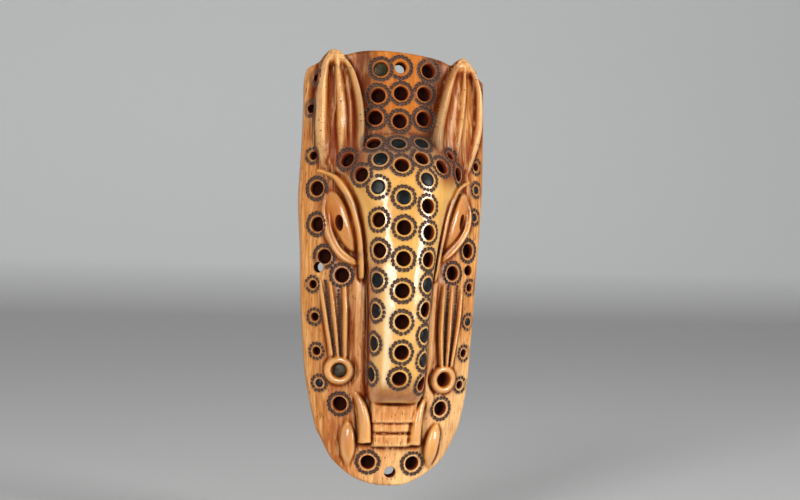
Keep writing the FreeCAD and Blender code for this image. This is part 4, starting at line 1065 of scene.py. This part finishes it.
def painted(obj):
    """Gives every point of the body its broad colour with painted light and shade, its soot and
    its depth below the face.
    """
    mesh = obj.data
    co = np.zeros(len(mesh.vertices) * 3, np.float32)
    mesh.vertices.foreach_get("co", co)
    co = co.reshape(-1, 3) / MM
    x, drop = co[:, 0], -co[:, 2]
    height = carving.blurred(CLOSE_EASE).at(x, drop)
    hollow = HOLLOW_GAIN * (carving.blurred(WIDE_EASE).at(x, drop) - height)
    dip = carving.blurred(FAR_EASE).at(x, drop) - height
    # Masks, each 1 where its name says. The numbers are places on the face.
    back = step(2.0, 4.0, co[:, 1] - bow(x, drop))
    on_head = step(0.5, 4.0, head(x, drop))
    off_head = 1 - on_head
    far = np.abs(x)
    # Painted light: the right cheek is painted paler, and its painted shade eased, where the
    # right lamp falls.
    lit_right_cheek = step(12, 14, x) * step(CHEEK_STARTS, 100, drop)
    nape = step(34, 28, drop) * step(24, 19, far)
    temple = step(26, 40, drop) * step(60, 50, drop) * step(14, 20, far) * step(38, 34, far)
    carved = carved_share(x, drop)
    in_ear = step(3.0, 5.0, height) * off_head * step(50, 40, drop)
    snout = step(*SNOUT_STARTS, drop)
    # Painted highlights: pale bands down the snout's left and right bevels, where the lamps'
    # reflections fall.
    left_highlight = bell(x + 6.7, 1.7, 4) * step(88, 98, drop) * step(149, 143, drop)
    right_highlight = bell(x - 7.2, 1.6, 4) * step(70, 78, drop) * step(118, 104, drop)
    chipped = np.exp(-(((x - 25) / 6) ** 2 + ((drop + 2) / 4) ** 2))
    # Coats of colour, each over those before it: the colour, and how much of it lies where; some
    # are painted light and shade.
    coats = [
        (PINK, 0.8 * step(CHEEK_STARTS, 110, drop) * off_head * step(34, 26, far)),
        # painted light on the right cheek
        (PALE, 0.3 * lit_right_cheek * off_head * step(24, 19, x) * step(160, 150, drop)),
        (PALE, 0.7 * off_head * step(160, 200, drop + x * 1.2)),
        (AMBER, 0.5 * off_head * step(120, 150, drop + x * 0.6) * step(-10, -24, x)),
        (AMBER, 0.8 * nape),
        (UMBER, 0.85 * nape * step(9, 15, far)),
        (UMBER, 0.7 * nape * chipped),
        (CREAM, 0.92 * on_head * step(40, 56, drop)),
        # painted shade on the nose's end, where it turns down
        (NOSE_SHADE, 0.9 * on_head * step(139, 152, drop)),
        (EARTH, 0.9 * on_head * step(0.62, 0.92, far / 14.4) * snout * step(4, -4, x)),
        (EARTH, 0.6 * on_head * step(0.66, 0.95, far / 14.6) * snout * step(-4, 4, x)),
        # painted highlights down the snout's bevels
        (PAINTED_HIGHLIGHT, 0.75 * on_head * np.maximum(left_highlight, 0.8 * right_highlight)),
        (RED_EARTH, 0.9 * temple),
        # the ears' troughs deepen with the dip: patina and painted shade
        (EARTH, in_ear * np.clip(dip * 0.9 + 0.3, 0, 0.9)),
        (GOLD, 0.85 * carved),
    ]
    in_eye = np.zeros(len(x))
    for eye in EYES:
        span = eye_span(x, drop, eye)
        in_eye = np.maximum(in_eye, step(1.05, 0.95, span))
        coats.append((WARM_GOLD, 0.85 * step(1.0, 0.8, span)))
        # patina and painted shade in the groove round the eyeball
        coats.append((RUST, 0.9 * bell(span - 1.08, 0.1)))
    # Patina and painted shade: the foot of tall forms and every hollow are painted red-brown, the
    # deepest nearly black.
    dip_patina_and_shade = np.clip(dip * 0.6 - 0.12, 0, 0.75)
    coats += [
        # painted highlight: convex edges painted paler
        (PALE, np.clip(-hollow * 1.2 - 0.08, 0, 0.4)),
        # patina and painted shade in the hollows, the deepest nearly black
        (RUST, np.clip(hollow * 2.4 - 0.04, 0, 0.9)),
        (RUST, dip_patina_and_shade * (1 - 0.6 * in_ear) * (1 - 0.75 * lit_right_cheek)),
        (DEEP, np.clip(hollow * 2.0 - 0.7, 0, 0.8)),
        (BACK_TONE, back),
    ]
    colour = np.repeat(HONEY[None], len(x), 0)
    for paint, amount in coats:
        colour = mixed(colour, paint, amount)
    polished = np.maximum(np.maximum(carved, on_head), np.maximum(0.8 * in_eye, 0.3 * in_ear))
    sheen = step(0.2, -0.05, hollow) * (0.25 + 0.75 * polished)
    sheen *= (1 - 0.85 * nape) * (1 - 0.7 * temple)
    sheen += (BACK_SHEEN - sheen) * back
    smooth = (1 - 0.85 * np.maximum(carved, in_eye)) * (1 - 0.7 * nape)
    grain = (1 - 0.8 * on_head - 0.5 * in_ear) * smooth
    grain += (BACK_GRAIN - grain) * back
    layers = {
        "depth": co[:, 1] - face_y(x, drop),
        "soot": np.clip(soot_share(x, drop, co) * (1 - back) * (1 - 0.9 * carved), 0, 1),
        "grain": np.clip(grain, 0, 1),
        "sheen": np.clip(sheen, 0, 1),
        "rim": in_ear * step(0.05, -0.15, hollow) * (1 - back),
    }
    for name, values in layers.items():
        layer = mesh.attributes.new(name, "FLOAT", "POINT")
        layer.data.foreach_set("value", values.astype(np.float32))
    layer = mesh.attributes.new("tone", "FLOAT_COLOR", "POINT")
    opaque = np.column_stack([colour, np.ones(len(x))])
    layer.data.foreach_set("color", opaque.astype(np.float32).ravel())


class Shader:
    """A node material, built up socket by socket."""

    def __init__(self, name):
        self.material = bpy.data.materials.new(name)
        self.material.use_nodes = True
        self.tree = self.material.node_tree
        self.tree.nodes.clear()

    def node(self, kind, inputs=None, **settings):
        n = self.tree.nodes.new(kind)
        for key, value in settings.items():
            setattr(n, key, value)
        for key, value in (inputs or {}).items():
            if isinstance(value, bpy.types.NodeSocket):
                self.tree.links.new(value, n.inputs[key])
            else:
                n.inputs[key].default_value = value
        return n

    def attribute(self, name, output="Fac"):
        return self.node("ShaderNodeAttribute", attribute_name=name).outputs[output]

    def noise(self, scale, detail, stretch=(1, 1, 1)):
        where = self.node("ShaderNodeTexCoord").outputs["Object"]
        mapping = self.node("ShaderNodeMapping", {"Vector": where, "Scale": stretch})
        inputs = {"Vector": mapping.outputs["Vector"], "Scale": scale, "Detail": detail}
        return self.node("ShaderNodeTexNoise", {**inputs, "Roughness": 0.55}).outputs["Fac"]

    def ranged(self, value, low, high, to_low=0.0, to_high=1.0):
        inputs = {"Value": value, "From Min": low, "From Max": high}
        inputs.update({"To Min": to_low, "To Max": to_high})
        return self.node("ShaderNodeMapRange", inputs).outputs["Result"]

    def times(self, a, b):
        return self.node("ShaderNodeMath", {0: a, 1: b}, operation="MULTIPLY").outputs[0]

    def mix(self, amount, a, b):
        """Colour b over colour a by an amount, each a socket or a plain colour."""
        sockets = {0: amount, 6: a, 7: b}
        for key in (6, 7):
            if not isinstance(sockets[key], bpy.types.NodeSocket):
                sockets[key] = (*sockets[key], 1.0)
        return self.node("ShaderNodeMix", sockets, data_type="RGBA").outputs[2]

    def bump(self, height, strength, distance):
        inputs = {"Height": height, "Strength": strength, "Distance": distance}
        return self.node("ShaderNodeBump", inputs).outputs["Normal"]

    def finish(self, **inputs):
        named = {k.replace("_", " "): v for k, v in inputs.items()}
        shader = self.node("ShaderNodeBsdfPrincipled", named)
        self.node("ShaderNodeOutputMaterial", {"Surface": shader.outputs[0]})
        return self.material


def tusk_skin():
    s = Shader("tusk_skin")
    tone, grain, sheen = s.attribute("tone", "Color"), s.attribute("grain"), s.attribute("sheen")
    streaks = s.noise(700.0, 4.0, (1.0, 1.0, 0.07))
    broad = s.noise(60.0, 3.0, (1.0, 1.0, 0.35))
    mottle = s.noise(260.0, 3.0)
    pores = s.noise(1300.0, 1.0, (1.0, 1.0, 0.22))
    cracks = s.noise(900.0, 1.5, (0.35, 0.35, 1.5))
    colour = s.mix(s.times(grain, s.ranged(streaks, 0.5, 0.72, 0.0, 0.55)), tone, PALE)
    colour = s.mix(s.times(grain, s.ranged(streaks, 0.5, 0.3, 0.0, 0.45)), colour, RUST)
    colour = s.mix(s.ranged(broad, 0.5, 0.7, 0.0, 0.4), colour, EARTH)
    colour = s.mix(s.times(grain, s.ranged(pores, 0.66, 0.72, 0.0, 0.75)), colour, UMBER)
    split = s.times(s.attribute("rim"), s.ranged(cracks, 0.66, 0.7, 0.0, 0.8))
    colour = s.mix(split, colour, UMBER)
    grime = s.times(s.attribute("soot"), s.ranged(mottle, 0.25, 0.55, 0.6, 1.0))
    return s.finish(
        Base_Color=s.mix(grime, colour, SOOT),
        Roughness=s.ranged(mottle, 0.3, 0.7, 0.38, 0.52),
        Normal=s.bump(streaks, 0.12, 0.0001),
        Specular_IOR_Level=s.ranged(sheen, 0.0, 1.0, 0.06, 0.36),
        Coat_Weight=sheen,
        Coat_IOR=1.6,
        Coat_Roughness=0.14,
    )


def dot_skin():
    s = Shader("punched_dot")
    depth = s.ranged(s.attribute("depth"), 0.15, 0.6)
    colour = s.mix(depth, linear(28, 16, 11), linear(92, 68, 56))
    colour = s.mix(s.ranged(s.noise(900.0, 2.0), 0.4, 0.7, 0.0, 0.5), colour, linear(60, 40, 32))
    return s.finish(Base_Color=colour, Roughness=0.6, Specular_IOR_Level=0.2)


def bore_skin():
    s = Shader("drilled_spot")
    depth = s.attribute("depth")
    # A red-brown stain down the bore's wall, then painted shade deepening to nearly black at its
    # floor.
    colour = s.mix(s.ranged(depth, 0.2, 0.7), s.attribute("tone", "Color"), linear(126, 48, 20))
    colour = s.mix(s.ranged(depth, 0.6, 3.4), colour, linear(32, 12, 6))
    colour = s.mix(s.ranged(s.noise(420.0, 3.0), 0.4, 0.75, 0.0, 0.5), colour, linear(60, 16, 7))
    rough = s.ranged(depth, 0.2, 0.8, 0.3, 0.9)
    level = s.ranged(depth, 0.2, 0.8, 0.5, 0.05)
    return s.finish(Base_Color=colour, Roughness=rough, Specular_IOR_Level=level)


def inlay_skin(name, light):
    s = Shader(name)
    cloud = s.noise(380.0, 4.0)
    specks = s.ranged(s.noise(900.0, 2.0), 0.62, 0.78, 0.0, 0.3)
    colour = s.mix(s.ranged(cloud, 0.35, 0.68), linear(12, 13, 15), light)
    colour = s.mix(specks, colour, linear(70, 66, 64))
    normal = s.bump(cloud, 0.4, 0.0004)
    return s.finish(Base_Color=colour, Roughness=0.3, Normal=normal, Specular_IOR_Level=0.14)


def smoothed(obj, sharp_degrees):
    obj.data.shade_smooth()
    obj.data.set_sharp_from_angle(angle=math.radians(sharp_degrees))


# ---------------------------------------------------------------- the body

DOT_SKIN, BORE_SKIN = 1, 2
skins = [tusk_skin(), dot_skin(), bore_skin()]
body = body_mesh(skins)
cut(body, cord_cutters() + pupil_cutters(), skins, BORE_SKIN)
cut(body, spot_cutters(), skins, BORE_SKIN)
for dots in dot_cutters():
    cut(body, dots, skins, DOT_SKIN)
painted(body)
smoothed(body, 38)
body.name = body.data.name = "carved_body"
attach(body, "root")
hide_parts("carved_head")

# ---------------------------------------------------------------- the inlays

BLACK = inlay_skin("inlay_black", linear(30, 32, 34))
BLUE = inlay_skin("inlay_blue_grey", linear(34, 38, 42))
GREEN = inlay_skin("inlay_green_grey", linear(74, 66, 40))
# How far an inlay's edge lies under the bore's mouth, how thick it is and how it is rounded.
INLAY_SINK, DEEP_SINK = 0.0, 1.3
INLAY_THICK, INLAY_SIDE_END = 1.4, 0.3
INLAY_EDGE_DROP, INLAY_EDGE = 0.06, 0.22
INLAY_CROWN = 0.25
INLAY_GAP = 0.03
for k, name in enumerate(SPOT_NAMES):
    if name not in FILLED:
        continue
    deep = name in DEEP_SET
    sink = DEEP_SINK if deep else INLAY_SINK
    r = SPOTS[name][2] - INLAY_GAP
    face = r - INLAY_EDGE
    rings = [(-sink - INLAY_THICK, 0), (-sink - INLAY_THICK, r), (-sink - INLAY_SIDE_END, r)]
    rings.append((-sink - INLAY_EDGE_DROP, face))
    for t in (0.75, 0.5, 0.25):
        rings.append((-sink + INLAY_CROWN * (1 - t * t), face * t))
    rings.append((-sink + INLAY_CROWN, 0))
    points, faces = turned(rings, INLAY_SIDES, SPOT_CENTRES[k], SPOT_AXES[k])
    skin = GREEN if deep else BLUE if "margin" in name else BLACK
    disc = mesh_object("disc_" + name, points, faces, [skin])
    smoothed(disc, 40)
    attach(disc, "root")
    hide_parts("inlay_" + name)

# ---------------------------------------------------------------- stage, light and camera

# In metres: the floor under the top cord hole, the wall behind, and the sweep between them.
FLOOR_DROP = 0.222
FLOOR_FRONT, WALL_BEHIND, WALL_TOP = -2.6, 2.6, 3.0
STAGE_HALF_WIDTH = 3.0
SWEEP_RADIUS, SWEEP_STEPS = 0.5, 16
# The floor is painted darker than the wall: a painted shade that darkens the backdrop towards the
# bottom.
FLOOR_SHADE_TONE, WALL_TONE, TONE_RISE = linear(204, 204, 204), linear(250, 252, 251), 0.1


def backdrop():
    bend = WALL_BEHIND - SWEEP_RADIUS
    profile = [(FLOOR_FRONT, 0.0), (bend, 0.0)]
    for k in range(1, SWEEP_STEPS + 1):
        a = math.pi / 2 * k / SWEEP_STEPS
        profile.append((bend + SWEEP_RADIUS * math.sin(a), SWEEP_RADIUS * (1 - math.cos(a))))
    profile.append((WALL_BEHIND, WALL_TOP))
    points, faces = [], []
    for side in (-STAGE_HALF_WIDTH, STAGE_HALF_WIDTH):
        points += [(side / MM, y / MM, (z - FLOOR_DROP) / MM) for y, z in profile]
    n = len(profile)
    for k in range(n - 1):
        faces.append([k, k + n, k + n + 1, k + 1])
    s = Shader("backdrop")
    where = s.node("ShaderNodeTexCoord").outputs["Object"]
    z = s.node("ShaderNodeSeparateXYZ", {"Vector": where}).outputs["Z"]
    rise = s.ranged(z, -FLOOR_DROP, -FLOOR_DROP + TONE_RISE)
    colour = s.mix(rise, FLOOR_SHADE_TONE, WALL_TONE)
    floor = mesh_object("backdrop", points, faces, [s.finish(Base_Color=colour, Roughness=0.9)])
    floor.data.shade_smooth()
    return floor


backdrop()

# The softboxes: place in metres, and watts.
SOFTBOXES = {
    "softbox_left": ((-0.75, -1.0, 0.1), 17.0),
    "softbox_right": ((1.0, -0.8, 0.0), 21.0),
}
SOFTBOX_WIDTH, SOFTBOX_HEIGHT = 0.4, 1.2
LIT_POINT = Vector((0.0, 0.0, -0.11))
WORLD_STRENGTH = 0.32
for name, (place, watts) in SOFTBOXES.items():
    data = bpy.data.lights.new(name, "AREA")
    data.shape = "RECTANGLE"
    data.size, data.size_y = SOFTBOX_WIDTH, SOFTBOX_HEIGHT
    data.energy = watts
    lamp = bpy.data.objects.new(name, data)
    lamp.location = place
    lamp.rotation_euler = (LIT_POINT - Vector(place)).to_track_quat("-Z", "Y").to_euler()
    bpy.context.scene.collection.objects.link(lamp)

world = bpy.data.worlds.new("studio")
world.use_nodes = True
sky = world.node_tree.nodes["Background"].inputs
sky["Color"].default_value = (1, 1, 1, 1)
sky["Strength"].default_value = WORLD_STRENGTH
bpy.context.scene.world = world
bpy.context.scene.view_settings.view_transform = "Standard"

EYE = Vector((-0.12361, -0.64884, -0.08471))
VIEW_BACK = Vector((-0.190809, -0.981627, 0.0))
VIEW_RIGHT = Vector((0.981291, -0.190744, 0.026177))
VIEW_UP = VIEW_BACK.cross(VIEW_RIGHT)
camera_data = bpy.data.cameras.new("camera")
camera_data.sensor_width = 36.0
camera_data.lens = 63.77
camera = bpy.data.objects.new("camera", camera_data)
turn = Matrix((VIEW_RIGHT, VIEW_UP, VIEW_BACK)).transposed().to_4x4()
camera.matrix_world = Matrix.Translation(EYE) @ turn
bpy.context.scene.collection.objects.link(camera)
bpy.context.scene.camera = camera
